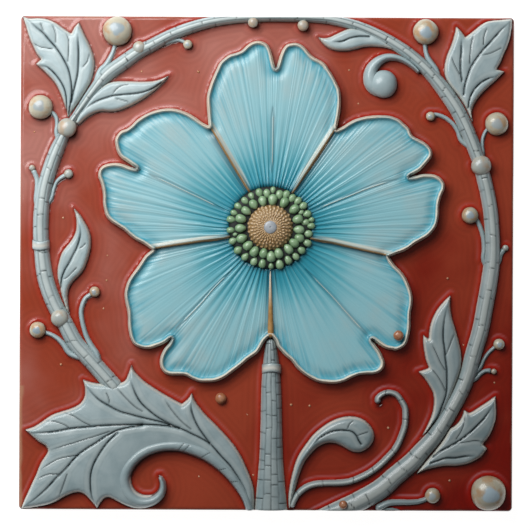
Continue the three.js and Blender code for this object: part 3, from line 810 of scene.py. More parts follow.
@dataclass
class Petal:
    """One petal: a shallow dish with a rolled lip, fanned ridges and a centre vein.

    The rim runs anticlockwise about the flower's centre. A petal that laps over a neighbour
    ends in a seam edge there, and one that is lapped runs on a little beneath it.
    """

    name: str
    lap: float
    rim: Points
    first_seam: Points
    last_seam: Points
    vein: Points
    owns_first: bool
    owns_last: bool
    seed: int
    ridges: int = 17
    across: int = 236
    inner_rows: int = 92
    lip_rows: int = 34
    start: float = 9.6
    lip_zone: float = 3.4
    tuck: float = 2.6
    hub_edge: float = 12.0
    fan_height: float = 0.55
    streak_height: float = 0.045
    spine_height: float = 0.26
    fold_height: float = 0.5

    def polar(self, points: Points) -> tuple[Array, Array]:
        """The angle in degrees and the distance of points about the flower's centre."""
        rows = np.array(points, float) - (SIZES.flower_x, SIZES.flower_y)
        angle = np.degrees(np.unwrap(np.arctan2(rows[:, 1], rows[:, 0])))
        middle = np.degrees(math.atan2(*self.heading()[::-1]))
        angle += 360 * np.rint((middle - angle.mean()) / 360)
        return angle, np.hypot(rows[:, 0], rows[:, 1])

    def heading(self) -> Array:
        """The way from the flower's centre to the middle of the rim."""
        rows = np.array(self.rim, float)
        return rows.mean(0) - (SIZES.flower_x, SIZES.flower_y)

    def build(self, finishes: Finishes) -> None:
        """Draws the petal out of a flat grid.

        Args:
            finishes: The tile's glazes.
        """
        piece, column, row = add_grid(self.name, self.across, self.inner_rows + self.lip_rows)
        rim = open_curve(self.rim, 0.25)
        fan, reach, angle = self.spread(column, row, rim)
        plan = np.stack([
            SIZES.flower_x + reach * np.cos(np.radians(angle)),
            SIZES.flower_y + reach * np.sin(np.radians(angle)),
        ], 1)
        to_rim = distance_to(rim, plan)
        to_seam = np.full(len(plan), FAR)
        for owned, seam in self.sides():
            if owned:
                to_seam = np.minimum(to_seam, distance_to(np.array(seam, float), plan))
        outward = held((reach - self.hub_edge) / (reach - self.hub_edge + to_rim))
        to_vein, share = distance_along(open_curve(self.vein, 1.0), plan)
        to_vein = to_vein + 0.5 * held(1 - np.minimum(share, 1 - share) * 6)
        to_notch = self.to_notch(plan)
        height, ridge, streak = self.relief(fan, reach, outward, to_rim, to_seam, to_vein)
        write_points(piece, np.column_stack([plan, SIZES.ground + height]))
        paint(piece, along=outward, ridge=ridge, streak=streak)
        # The rim value: glaze lying deeper under the lip with painted shade there, and painted shade in
        # the notch
        hatch = held(0.25 + 1.1 * streak)
        rim_band = held(1 - (to_rim - 1.3) / (1.2 + 5.5 * streak)) * (to_rim > 1.1)
        notch_shade = held(1 - to_notch / 6) * (to_rim > 1.1)
        paint(piece, rim=np.maximum(rim_band * hatch, notch_shade))
        lip = self.lip_mask(fan, to_rim, to_seam, reach) * (1 - 0.7 * bump_at(to_notch, 1.3))
        paint(piece, edge=lip, seam=bump_at(to_seam - 0.25, 0.55) * (to_rim > 1.2))
        paint(piece, vein=bump_at(to_vein, 0.13))
        # The pool value is painted shade: under lapping neighbours, by the hub, beside the vein, on the
        # lip's outer wall and in the notch
        pool = self.shade(plan, to_rim, to_vein, reach)
        paint(piece, pool=np.maximum(pool, 0.75 * bump_at(to_notch, 1.1)))
        close_below(piece)
        finish_piece(piece, finishes.petal)

    def to_notch(self, plan: Array) -> Array:
        """How far points lie from the bottom of the notch in the rim."""
        _, reach = self.polar(self.rim)
        skipped = len(reach) // 5
        notch = self.rim[skipped + int(np.argmin(reach[skipped:-skipped]))]
        return np.hypot(*(plan - notch).T)

    def sides(self) -> Sequence[tuple[bool, Points]]:
        """Its two seams, each with whether the petal laps over its neighbour there."""
        return ((self.owns_first, self.first_seam), (self.owns_last, self.last_seam))

    def seam_angles(self, seam: Points) -> tuple[Array, Array]:
        """A seam's distance from the centre and its angle, in order of distance."""
        angle, reach = self.polar(seam)
        order = np.argsort(reach)
        return reach[order], angle[order]

    def spread(self, column: Array, row: Array, rim: Array) -> tuple[Array, Array, Array]:
        """Spreads the grid over the petal: even along the rim, with close rows under the lip.

        Args:
            column: Each vertex's column in the grid.
            row: Each vertex's row.
            rim: The rim's curve.

        Returns:
            Each vertex's place across the fan from 0 to 1, its distance from the flower's
            centre and its angle in degrees.
        """
        angle, outer = self.polar(rim)
        angle = np.maximum.accumulate(angle)
        tucks = [0 if owned else self.tuck for owned, _ in self.sides()]
        angle = np.concatenate([[angle[0] - tucks[0]], angle, [angle[-1] + tucks[1]]])
        outer = np.concatenate([outer[:1], outer, outer[-1:]])
        steps = np.hypot(np.diff(outer), np.radians(np.diff(angle)) * outer[1:])
        way = np.concatenate([[0], np.cumsum(steps)])
        place = column / self.across * way[-1]
        rim_angle, outer = np.interp(place, way, angle), np.interp(place, way, outer)
        fan = (rim_angle - angle[0]) / (angle[-1] - angle[0])
        inner_share = held(row / self.inner_rows)
        lip_share = held((row - self.inner_rows) / self.lip_rows)
        shoulder = outer - self.lip_zone
        reach = self.start + (shoulder - self.start) * inner_share + self.lip_zone * lip_share
        blend = held((outer - reach) / 6)
        low = np.interp(reach, *self.seam_angles(self.first_seam)) - tucks[0]
        high = np.interp(reach, *self.seam_angles(self.last_seam)) + tucks[1]
        low = angle[0] + (low - angle[0]) * blend
        high = angle[-1] + (high - angle[-1]) * blend
        return fan, reach, low + (high - low) * fan

    def relief(
        self,
        fan: Array,
        reach: Array,
        outward: Array,
        to_rim: Array,
        to_seam: Array,
        to_vein: Array,
    ) -> tuple[Array, Array, Array]:
        """The petal's surface above the ground.

        Returns:
            The height, the ridges' own height from 0 to 1, and that of the fine streaks.
        """
        rng = np.random.default_rng(self.seed)
        count = self.ridges * 2 + 1
        knots = np.sort(np.linspace(0, 1, count) + rng.uniform(-0.007, 0.007, count))
        levels = np.where(np.arange(count) % 2 == 0, rng.uniform(0, 0.25, count), 1.0)
        levels[1::2] *= rng.uniform(0.5, 1.0, self.ridges)
        place = np.interp(fan, knots, np.arange(count))
        before = np.minimum(place.astype(int), count - 2)
        blend = eased(place - before)
        ridge = levels[before] * (1 - blend) + levels[before + 1] * blend
        places = np.linspace(0, 1, 2000)
        inner = np.interp(fan, places, noise_line(rng, 2000, (50, 90, 130)))
        outer = np.interp(fan, places, noise_line(rng, 2000, (80, 140, 190)))
        streak = inner * (1 - outward) + outer * outward
        furrow = ridge * (self.fan_height * (1 - outward) ** 1.9 + 0.035)
        fan_relief = furrow + streak * self.streak_height
        quiet = held((to_rim - 1.2) / 1.6)
        floor = SIZES.petal_floor + self.lap * SIZES.petal_lap
        swell = 1.1 * np.exp(-(((reach - 9) / 6) ** 2)) + 1.5 * outward * (1 - outward)
        swell -= 2.2 * held((13 - reach) / 2)
        spine = self.spine_height * bump_at(to_vein, 0.22) - 0.2 * bump_at(to_vein, 0.7)
        lip = SIZES.lip_height * bump_at(to_rim - 0.75, 0.5) - 0.3 * bump_at(to_rim - 2.5, 1.3)
        fold = self.fold_height * bump_at(to_seam - 0.6, 0.7) * held((reach - self.hub_edge) / 3)
        height = floor + swell + (fan_relief + spine) * quiet + lip + fold
        fall = held(1 - to_rim / 0.75)
        side = held(1 - to_seam / 0.4) * (reach > self.hub_edge)
        height -= 0.95 * fall**2 + 0.3 * side**2
        return height, ridge, held(0.5 + 0.55 * streak)

    def lip_mask(self, fan: Array, to_rim: Array, to_seam: Array, reach: Array) -> Array:
        """Where the glaze breaks cream: the lip, and a band inside the seam edges."""
        rng = np.random.default_rng(self.seed + 50)
        worn = np.interp(fan, np.linspace(0, 1, 400), noise_line(rng, 400, (12, 30, 60)))
        lip = held((1.3 + 0.14 * worn - to_rim) / 0.32)
        band = bump_at(to_seam - 1.3, 0.45) * np.clip((reach - 13.5) / 8, 0, 0.7)
        return np.maximum(lip * (0.82 + 0.18 * worn), band)

    def shade(self, plan: Array, to_rim: Array, to_vein: Array, reach: Array) -> Array:
        """Painted shade: under a lapping neighbour, by the hub, beside the vein, and on the lip's outer
        wall.
        """
        pool = 0.55 * bump_at(np.maximum(reach - 12.8, 0), 1.2)
        for owned, seam in self.sides():
            if not owned:
                gap = distance_to(np.array(seam, float), plan)
                pool = np.maximum(pool, 0.85 * held(1 - gap / 2.6) ** 1.3)
        pool = np.maximum(pool, 0.35 * bump_at(to_vein - 0.5, 0.3))
        return np.where(to_rim > 0.25, pool, 0.4 * (1 - to_rim / 0.25))


TOP_LEFT_SEAM = [(-4.2, 19.6), (-5.8, 22), (-18, 42.3)]
TOP_RIGHT_SEAM = [(7.2, 20), (8.6, 22), (21.5, 41.7)]
LEFT_SEAM = [(-9, 8.2), (-13, 7.4), (-20, 6.5), (-28, 5.3), (-35.3, 4.1)]
RIGHT_SEAM = [(11, 7.9), (13.7, 7.3), (20, 6.2), (28, 4.4), (37.8, 2.3)]
BOTTOM_SEAM = [(1.15, 0.5), (1.4, -22.4)]

PETALS = [
    Petal(
        "petal_top", lap=2,
        rim=[
            (21.5, 42.1), (22.3, 46.1), (22.6, 48.5), (22.6, 51), (22.3, 53.7), (21.4, 55.6),
            (20.3, 57.7), (18.9, 59.9), (17.8, 61.5), (16.2, 62.6), (14.6, 63.4), (13.2, 64.5),
            (11.9, 66.1), (10.5, 67.3), (8.9, 67.9), (7.3, 67.8), (5.8, 67.3), (4.6, 65.8), (3.8, 63.9),
            (3.2, 61.8), (2.6, 60.2), (2, 61.8), (1.5, 63.9), (0.8, 66.1), (0, 67.4), (-1.4, 68.2),
            (-3, 68.5), (-4.9, 68), (-6.5, 66.9), (-7.8, 65.6), (-9.5, 64.8), (-11.6, 64.2),
            (-13.2, 63.1), (-14.6, 61.8), (-15.7, 59.6), (-17.6, 55), (-18.6, 51), (-18.4, 46.1),
            (-18, 42.3),
        ],
        first_seam=TOP_RIGHT_SEAM, last_seam=TOP_LEFT_SEAM,
        vein=[(1.6, 28), (1.7, 38), (1.8, 48)],
        owns_first=True, owns_last=True, seed=11,
    ),
    Petal(
        "petal_upper_left", lap=1,
        rim=[
            (-18, 42.3), (-20, 43.4), (-22.2, 45), (-24.3, 46.2), (-27, 47.2), (-29.2, 47.6),
            (-31.9, 47.5), (-34.6, 46.9), (-37.3, 45.8), (-40.1, 44), (-41.8, 42.3), (-43.4, 41.2),
            (-45, 40.6), (-46.1, 39.4), (-46.8, 37.8), (-46.6, 35.9), (-46.1, 34.1), (-45, 32.4),
            (-43.1, 31.1), (-41.5, 30), (-40.4, 29.2), (-42.1, 29.6), (-43.7, 30.2), (-45.6, 30.7),
            (-47.7, 30.7), (-49.6, 30.3), (-51, 29.5), (-51.8, 28.1), (-51.9, 26.5), (-51.2, 24.6),
            (-50.7, 22.7), (-50.4, 20.3), (-50.4, 18.4), (-50, 16.2), (-49.4, 14.3), (-48, 12.7),
            (-46.1, 11.4), (-43.9, 10), (-42.1, 8.4), (-40.2, 7), (-38, 5.9), (-35.3, 4.1),
        ],
        first_seam=TOP_LEFT_SEAM, last_seam=LEFT_SEAM,
        vein=[(-13, 16.3), (-20, 19.8), (-26, 22.6), (-30, 24.5), (-34.5, 26.5), (-36, 27.3)],
        owns_first=False, owns_last=True, seed=12,
    ),
    Petal(
        "petal_lower_left", lap=0,
        rim=[
            (-35.3, 4.1), (-37.3, 2.4), (-39.6, -1), (-41.2, -3.2), (-42.6, -5.4), (-43.4, -7.8),
            (-43.7, -9.7), (-43.4, -12.2), (-42.9, -14.3), (-42.6, -16.8), (-42.6, -18.9),
            (-42.3, -21.1), (-41.8, -23.2), (-40.7, -25.1), (-38.4, -26.2), (-35.9, -26.4),
            (-33.5, -25.7), (-31.6, -24.9), (-30.3, -24.1), (-29.4, -23.4), (-30.1, -24.8),
            (-31.1, -25.9), (-31.9, -27.3), (-32.6, -29.2), (-32.7, -31.1), (-32.2, -32.7),
            (-31.1, -33.9), (-29.2, -34.5), (-27, -34.5), (-24.9, -34.6), (-22.7, -35.7), (-20.5, -36.5),
            (-18.4, -36.6), (-15.7, -36.4), (-13, -35.4), (-10.3, -33.5), (-7.6, -31.4), (-5.4, -29.5),
            (-3.8, -28.4), (-2.4, -27.3), (-1.4, -25.7), (-0.3, -23.8), (1.3, -22.3),
        ],
        first_seam=LEFT_SEAM, last_seam=BOTTOM_SEAM,
        vein=[(-10.5, -2), (-16, -7.5), (-20, -12.2), (-24, -16.4), (-27.5, -20)],
        owns_first=False, owns_last=False, seed=13,
    ),
    Petal(
        "petal_lower_right", lap=0.5,
        rim=[
            (1.4, -22.3), (2.7, -23.8), (3.5, -25.7), (4.6, -27), (5.9, -28.4), (7.8, -30), (9.5, -32.2),
            (11.6, -34), (13.8, -35.4), (16.2, -36.4), (18.9, -36.8), (21.6, -36.8), (24.3, -36.1),
            (26.5, -35), (28.6, -34.2), (31.1, -33.9), (33.2, -33.8), (35.1, -33.1), (36.2, -31.9),
            (36.5, -30), (35.9, -28.4), (35.1, -26.8), (34.1, -25.4), (32.7, -23.4), (33.9, -24.2),
            (35.1, -25.1), (37, -26.1), (38.9, -26.4), (39.6, -26.6), (41.2, -26.1), (42.9, -24.9),
            (43.7, -23), (44.2, -20.8), (44.4, -18.9), (44.4, -16.8), (44.5, -14.6), (44.9, -12.4),
            (45, -10.3), (44.6, -8.1), (43.9, -6.2), (42.9, -4.1), (41.5, -2.2), (39.6, -0.3),
            (37.8, 2.3),
        ],
        first_seam=BOTTOM_SEAM, last_seam=RIGHT_SEAM,
        vein=[(12, -1.7), (16, -5.7), (20, -9.7), (24, -14.2), (28, -18.6), (31.8, -22.5)],
        owns_first=False, owns_last=False, seed=14,
    ),
    Petal(
        "petal_upper_right", lap=1.5,
        rim=[
            (37.8, 2.3), (40.2, 3.2), (42.1, 3.9), (43.9, 4.9), (45.6, 6.2), (47.5, 7.3), (49.4, 8.4),
            (51, 10), (52.1, 11.6), (52.7, 13.5), (53, 15.7), (53, 17.6), (53.3, 19.5), (53.9, 21.4),
            (54.6, 23), (54.7, 24.6), (54.1, 25.9), (52.9, 27), (51.5, 27.6), (49.6, 27.8), (47.5, 27.7),
            (45.6, 27.2), (44, 27), (45.6, 27.9), (47.2, 28.9), (48.5, 30.3), (49.9, 31.9), (50.7, 33.2),
            (50.8, 34.6), (50.2, 35.9), (48.8, 37.3), (46.9, 38.4), (45.3, 39.2), (44.5, 40),
            (43.7, 41.8), (42.3, 43.1), (40.7, 44.5), (39.1, 45.2), (37.8, 45.6), (35.1, 45.8),
            (32.4, 45.7), (29.7, 45.3), (27, 44.5), (24.9, 43.4), (23.2, 42.3), (21.5, 41.5),
        ],
        first_seam=RIGHT_SEAM, last_seam=TOP_RIGHT_SEAM,
        vein=[(13.5, 16), (20, 18.8), (26, 21.2), (30, 22.9), (35, 24.6), (40, 26)],
        owns_first=True, owns_last=False, seed=15,
    ),
]


@dataclass
class FlowerCentre:
    """The hub with its gold dome, its pearl cap and two rings of sage beads."""

    beads: Line = (
        (1.8, 19.5, 3.1), (5.3, 18.7, 3), (8.4, 16.7, 3), (9.5, 13.6, 2.9), (9.9, 10.4, 3),
        (10, 7.9, 2.7), (8.4, 6.4, 2.9), (6.7, 4.5, 3), (3.7, 3.2, 2.9), (1.4, 2.1, 3), (-0.9, 3.2, 2.8),
        (-3.7, 3.7, 3), (-5.7, 5.5, 2.9), (-7.6, 7.7, 3), (-8, 10.8, 3), (-7.9, 13.7, 3),
        (-6.3, 16.1, 2.9), (-4.05, 18.1, 2.8), (-1.25, 19.05, 2.9), (1.9, 22.5, 2), (3.8, 21.1, 2.7),
        (5.9, 21.1, 2.5), (7.75, 20, 2.5), (9.5, 19.2, 2.5), (11.1, 17.7, 2.5), (10.5, 15.7, 1.7),
        (12.4, 15.25, 2.4), (13.7, 13.5, 1.7), (11.8, 12.65, 2.3), (13.6, 11.6, 2.2), (12.7, 9.2, 2.5),
        (12.4, 6.4, 2.5), (10.6, 4.2, 2.4), (8.9, 2.3, 2.4), (6.6, 1.2, 2.6), (4, -0.15, 2.8),
        (1.4, -0.7, 1.8), (-1.25, 0.1, 2.7), (-3.8, 0.7, 2.5), (-6.5, 2.1, 2.4), (-8.7, 4.1, 2.5),
        (-10.3, 6.9, 2.4), (-9.6, 8.9, 1.4), (-11, 10.2, 2.3), (-10.9, 13.5, 2.5), (-10, 15.5, 2.1),
        (-8.7, 17.5, 2.3), (-6.65, 19.2, 2.3), (-4.7, 20.65, 2.1), (-2.3, 21.65, 2.5), (0, 21.4, 2.6),
    )
    inner_count: int = 19
    plumpness: float = 1.17
    hub_radius: float = 12.8
    dome_radius: float = 6.9
    dome_rise: float = 7.6
    cap_radius: float = 1.95
    ridges: int = 32
    granules: float = 5.5

    def turned(self, name: str, profile: Points, around: int, along: int) -> tuple:
        """A grid wrapped about the centre along a profile of radius and height.

        Returns:
            The piece, each vertex's angle, its share of the profile, radius and height.
        """
        piece, column, row = add_grid(name, around, along)
        rows = np.array(profile, float)
        knots = np.concatenate([[0], np.cumsum(np.hypot(*np.diff(rows, axis=0).T))])
        share = row / along * knots[-1]
        radius = np.interp(share, knots, rows[:, 0])
        height = np.interp(share, knots, rows[:, 1])
        return piece, column % around / around * math.tau, row / along, radius, height

    def place(self, piece: Piece, angle: Array, radius: Array, height: Array) -> None:
        """Moves a turned piece's vertices to their place and merges its seam and pole."""
        x = SIZES.flower_x + radius * np.cos(angle)
        y = SIZES.flower_y + radius * np.sin(angle)
        write_points(piece, np.stack([x, y, SIZES.ground + height], 1))
        bpy.ops.object.mode_set(mode="EDIT")
        bpy.ops.mesh.select_all(action="SELECT")
        bpy.ops.mesh.remove_doubles(threshold=0.01 * MM)
        bpy.ops.mesh.fill_holes(sides=0)
        bpy.ops.mesh.normals_make_consistent(inside=False)
        bpy.ops.object.mode_set(mode="OBJECT")

    def build_hub(self, finishes: Finishes) -> None:
        """The dark seat between the beads."""
        top = SIZES.hub_rise - 0.2
        profile = [(0, -SIZES.root), (self.hub_radius, -SIZES.root), (self.hub_radius, 3.6)]
        profile += [(self.hub_radius - 0.5, 4.4), (self.hub_radius - 1.5, top), (0, top)]
        piece, angle, _, radius, height = self.turned("flower_hub", profile, 96, 40)
        paint(piece, pool=np.full(len(angle), 0.5), edge=np.zeros(len(angle)))
        self.place(piece, angle, radius, height)
        finish_piece(piece, finishes.hub)

    def build_dome(self, finishes: Finishes) -> None:
        """The gold dome: granules in rows that run out from the cap."""
        base = SIZES.hub_rise - 0.8
        inner = self.cap_radius - 0.6
        reach = self.dome_radius - self.cap_radius + 0.6
        rise = self.dome_rise - base
        arch = [
            (inner + reach * math.cos(turn), base + rise * math.sin(turn))
            for turn in np.linspace(0, math.pi / 2, 24)
        ]
        profile = [(self.dome_radius, base - 1.5), *arch, (0, self.dome_rise)]
        piece, angle, share, radius, height = self.turned("flower_dome", profile, 320, 110)
        rng = np.random.default_rng(9)
        rows = held((radius - 1.4) / (self.dome_radius - 1.4))
        wander = np.interp(angle, np.linspace(0, math.tau, 400), noise_line(rng, 400, (40, 90)))
        turn = angle / math.tau * self.ridges
        rib = 0.5 + 0.5 * np.cos((turn + 0.12 * np.sin(rows * 21 + 3 * angle)) * math.tau)
        stagger = np.rint(turn) % 2 * 0.5
        beat = 0.5 + 0.5 * np.cos((rows * self.granules + stagger + 0.3 * wander) * math.tau)
        grain = rib**0.7 * (0.3 + 0.7 * beat)
        strength = 0.55 * held(rows * 3)
        # The granules' tops break pale, and painted light makes them paler on the dome's upper side
        lit = 0.65 + 0.35 * np.sin(angle)
        paint(piece, pool=held(0.8 - grain) * (0.25 + 0.5 * rows))
        paint(piece, edge=held(grain * 1.2 - 0.2) * (1 - 0.7 * rows) * lit)
        height = height + grain * strength * np.sin(share * math.pi / 2)
        self.place(piece, angle, radius + grain * strength * 0.5 * rows, height)
        finish_piece(piece, finishes.dome)

    def build_cap(self, finishes: Finishes) -> None:
        """The smooth cap with a pricked dot in its middle."""
        rise = self.dome_rise
        profile = [(self.cap_radius, rise - 0.8), (self.cap_radius, rise + 0.1)]
        for step in np.linspace(0.1, 1, 14):
            turn = step * math.pi / 2
            profile.append((self.cap_radius * math.cos(turn), rise + 0.1 + 0.55 * math.sin(turn)))
        piece, angle, _, radius, height = self.turned("flower_cap", profile, 64, 44)
        dot = bump_at(radius, 0.2)
        paint(piece, pool=dot, edge=bump_at(radius, 1.2) * 0.5)
        self.place(piece, angle, radius, height - 0.15 * dot)
        finish_piece(piece, finishes.cap)

    def build_beads(self, finishes: Finishes) -> None:
        """The beads: eggs that point to the centre, each a little different."""
        rng = np.random.default_rng(5)
        parts = []
        for index, (x, y, length) in enumerate(self.beads):
            inner = index < self.inner_count
            turn = math.atan2(y - SIZES.flower_y, x - SIZES.flower_x)
            length *= self.plumpness
            width = length * rng.uniform(0.72, 0.82)
            rise = 2.5 if inner else 1.9
            level = SIZES.ground + (SIZES.hub_rise + 0.15 if inner else SIZES.hub_rise - 0.65)
            parts.append(self.bead(x, y, level, (length, width, rise), turn, rng))
        piece = join_pieces("flower_beads", parts)
        finish_piece(piece, finishes.bead)

    def bead(
        self,
        x: float,
        y: float,
        level: float,
        size: tuple[float, float, float],
        turn: float,
        rng: np.random.Generator,
    ) -> Piece:
        """One egg-shaped bead, with painted shade on its lower part and a paler top, where the glaze
        thins and painted light falls.
        """
        deselect_everything()
        bpy.ops.mesh.primitive_uv_sphere_add(segments=22, ring_count=14, radius=0.5 * MM)
        part = bpy.context.object
        points = read_points(part)
        taper = 1 + 0.16 * points[:, 0] * 2
        tone = rng.uniform(-0.12, 0.16)
        # Painted shade on the lower part; the paler top is thin glaze with painted light
        paint(part, pool=held(0.4 - points[:, 2] * 2.2) * 0.8)
        paint(part, edge=held(points[:, 2] * 1.4 - 0.3 + tone))
        bumps = 1 + 0.03 * np.sin(points[:, 0] * 9 + rng.uniform(0, 6)) * np.cos(points[:, 1] * 8)
        shape = points * np.stack([bumps, taper * bumps, bumps], 1) * size
        cos, sin = math.cos(turn), math.sin(turn)
        turned = np.stack([shape[:, 0] * cos - shape[:, 1] * sin,
                           shape[:, 0] * sin + shape[:, 1] * cos, shape[:, 2]], 1)
        write_points(part, turned + (x, y, level))
        return part

    def build(self, finishes: Finishes) -> None:
        """Builds the hub, the dome, the cap and the beads."""
        self.build_hub(finishes)
        self.build_dome(finishes)
        self.build_cap(finishes)
        self.build_beads(finishes)


# The vine, the stem and the thin growths


# How far under the ground a bar's section starts
FOOT = 0.3


def bar_arch(side: Array) -> Array:
    """A bar's rounded section: 1 on its middle line, and 0 at its sides, which are -1 and 1."""
    return np.maximum(1 - np.abs(side) ** 2.3, 0) ** 0.5


class Growth(Enum):
    """How a bar is finished along its length."""

    BARK = "long grooves, with cracks across the strips between them"
    SMOOTH = "a plain rounded bar"
    ROLL = "a plain roll with a dark line along its upper side"
    SEAM = "a thin ridge that runs from cream to brown"


@dataclass
class Bar:
    """A rounded bar that follows a centreline of x, y and width."""

    name: str
    line: Line
    rise: Optional[float] = None
    rise_to_width: float = 0.85
    growth: Growth = Growth.SMOOTH
    base: float = 0.0
    across: int = 24
    step: float = 0.36
    grooves: Sequence[float] = (-0.4, 0.4)
    groove_depth: float = 0.22
    groove_width: float = 0.15
    crack_gap: tuple[float, float] = (5.0, 12.0)
    crack_lean: float = 0.5
    cracks: Sequence[float] = ()
    # How strong the painted highlight along a bark bar's crown is
    lit: float = 0.28
    seed: int = 1

    def path(self) -> tuple[Array, Array, Array]:
        """The centreline in close steps, its tangents and the way along it."""
        rows = open_curve(self.line, self.step)
        tangent = np.gradient(rows[:, :2], axis=0)
        tangent /= np.maximum(np.hypot(tangent[:, 0], tangent[:, 1]), 1e-9)[:, None]
        steps = np.hypot(*np.diff(rows[:, :2], axis=0).T)
        return rows, tangent, np.concatenate([[0], np.cumsum(steps)])

    def shape(self) -> Piece:
        """Draws the bar out of a flat grid, open below."""
        rows, tangent, way = self.path()
        piece, column, row = add_grid(self.name, self.across, len(rows) - 1)
        side = -np.cos(column / self.across * math.pi)
        width = rows[row, 2]
        to_end = np.minimum(way[row], way[-1] - way[row])
        rounding = held(1 - to_end / np.maximum(width / 2, 0.1))
        taper = np.sqrt(np.maximum(1 - rounding**2, 0.02))
        offset = side * width / 2 * taper
        rise = self.rise if self.rise is not None else width * self.rise_to_width
        arch = bar_arch(side)
        cut, worn = self.carving(side, width, way[row], way[-1])
        height = self.base + (rise + FOOT) * arch * taper - FOOT - cut * self.groove_depth
        x = rows[row, 0] - tangent[row, 1] * offset
        y = rows[row, 1] + tangent[row, 0] * offset
        drop = SIZES.arris_drop(x, y) * 0.8
        write_points(piece, np.stack([x, y, SIZES.ground + height - drop], 1))
        paint(piece, pool=np.maximum(cut, 0.55 * bump_at(1 - np.abs(side), 0.012)))
        rim = held((np.abs(side) - 0.86) / 0.1) * held(1.2 - rounding)
        paint(piece, edge=np.maximum(0.5 * rim, worn))
        return piece

    def carving(self, side: Array, width: Array, way: Array, length: float) -> tuple[Array, Array]:
        """The cut lines from 0 to 1, and where the glaze is painted pale: worn at the seam ridge's start,
        and a painted highlight along a bark bar's crown.
        """
        cut, worn = np.zeros(len(side)), np.zeros(len(side))
        if self.growth is Growth.SEAM:
            worn = held(1.1 - way / length * 1.9)
        if self.growth in (Growth.SMOOTH, Growth.SEAM):
            return cut, worn
        rng = np.random.default_rng(self.seed)
        wobble = noise_line(rng, 400, (9, 23)) * 0.05
        drift = np.interp(way / length, np.linspace(0, 1, 400), wobble)
        if self.growth is Growth.ROLL:
            cut = 0.9 * bump_at((side - 0.9 - drift * 0.3) * width / 2, 0.2)
            for place in self.cracks:
                crack = bump_at(way - place - 0.3 * side * width, 0.13)
                cut = np.maximum(cut, crack * (side > rng.uniform(-0.7, -0.1)))
            return cut, worn
        for groove in self.grooves:
            gap = (side - groove - drift) * width / 2
            fade = 0.6 + 0.4 * np.interp(way / length, np.linspace(0, 1, 60), rng.uniform(0, 1, 60))
            cut = np.maximum(cut, 0.75 * fade * bump_at(gap, self.groove_width))
        # Painted highlight along the crown
        worn = self.lit * bump_at(side, 0.5)
        edges = (-1.05, *self.grooves, 1.05)
        for low, high in zip(edges, edges[1:]):
            place = rng.uniform(*self.crack_gap) * 0.5
            strip = (side >= low) & (side <= high)
            while place < length:
                lean = rng.uniform(-self.crack_lean, self.crack_lean)
                gap = way - place - lean * (side - (low + high) / 2) * width / 2
                crack = rng.uniform(0.7, 1) * bump_at(gap, 0.15) * strip
                cut = np.maximum(cut, crack)
                place += rng.uniform(*self.crack_gap)
        return cut, worn

    def build(self, material: Material) -> None:
        """Builds, closes, trims and glazes the bar."""
        piece = self.shape()
        close_below(piece)
        trim_to_sides(piece)
        finish_piece(piece, material)


@dataclass
class Collar:
    """A raised band round a bar."""

    name: str
    centre: tuple[float, float]
    along: float
    bar_width: float
    bar_rise: float
    width: float = 2.9
    proud: float = 0.7

    def build(self, material: Material) -> None:
        """Draws the band out of a grid, over the bar's own arch."""
        piece, column, row = add_grid(self.name, 36, 20)
        side = (column / 36 * 2 - 1) * 1.1
        way = row / 20 * 2 - 1
        crown = np.sqrt(np.maximum(1 - way**4, 0)) * self.proud
        height = (self.bar_rise + FOOT) * bar_arch(side / 1.1) - FOOT + crown
        axis = np.array([math.cos(self.along), math.sin(self.along)])
        normal = np.array([-axis[1], axis[0]])
        reach = side * self.bar_width / 2
        bend = way * self.width / 2 + 0.5 * side**2
        plan = np.array(self.centre) + np.outer(reach, normal) + np.outer(bend, axis)
        write_points(piece, np.column_stack([plan, SIZES.ground + height]))
        paint(piece, edge=0.8 * held(1 - np.abs(way) * 1.2))
        paint(piece, pool=held((np.abs(way) - 0.85) / 0.15) * 0.8)
        close_below(piece)
        finish_piece(piece, material)


COLLARS = [
    Collar("stem_collar", (1.7, -31.9), math.radians(-90), bar_width=5.4, bar_rise=3.4),
    Collar("vine_collar", (-69.6, 5.1), math.radians(90), bar_width=4.9, bar_rise=3.1),
]


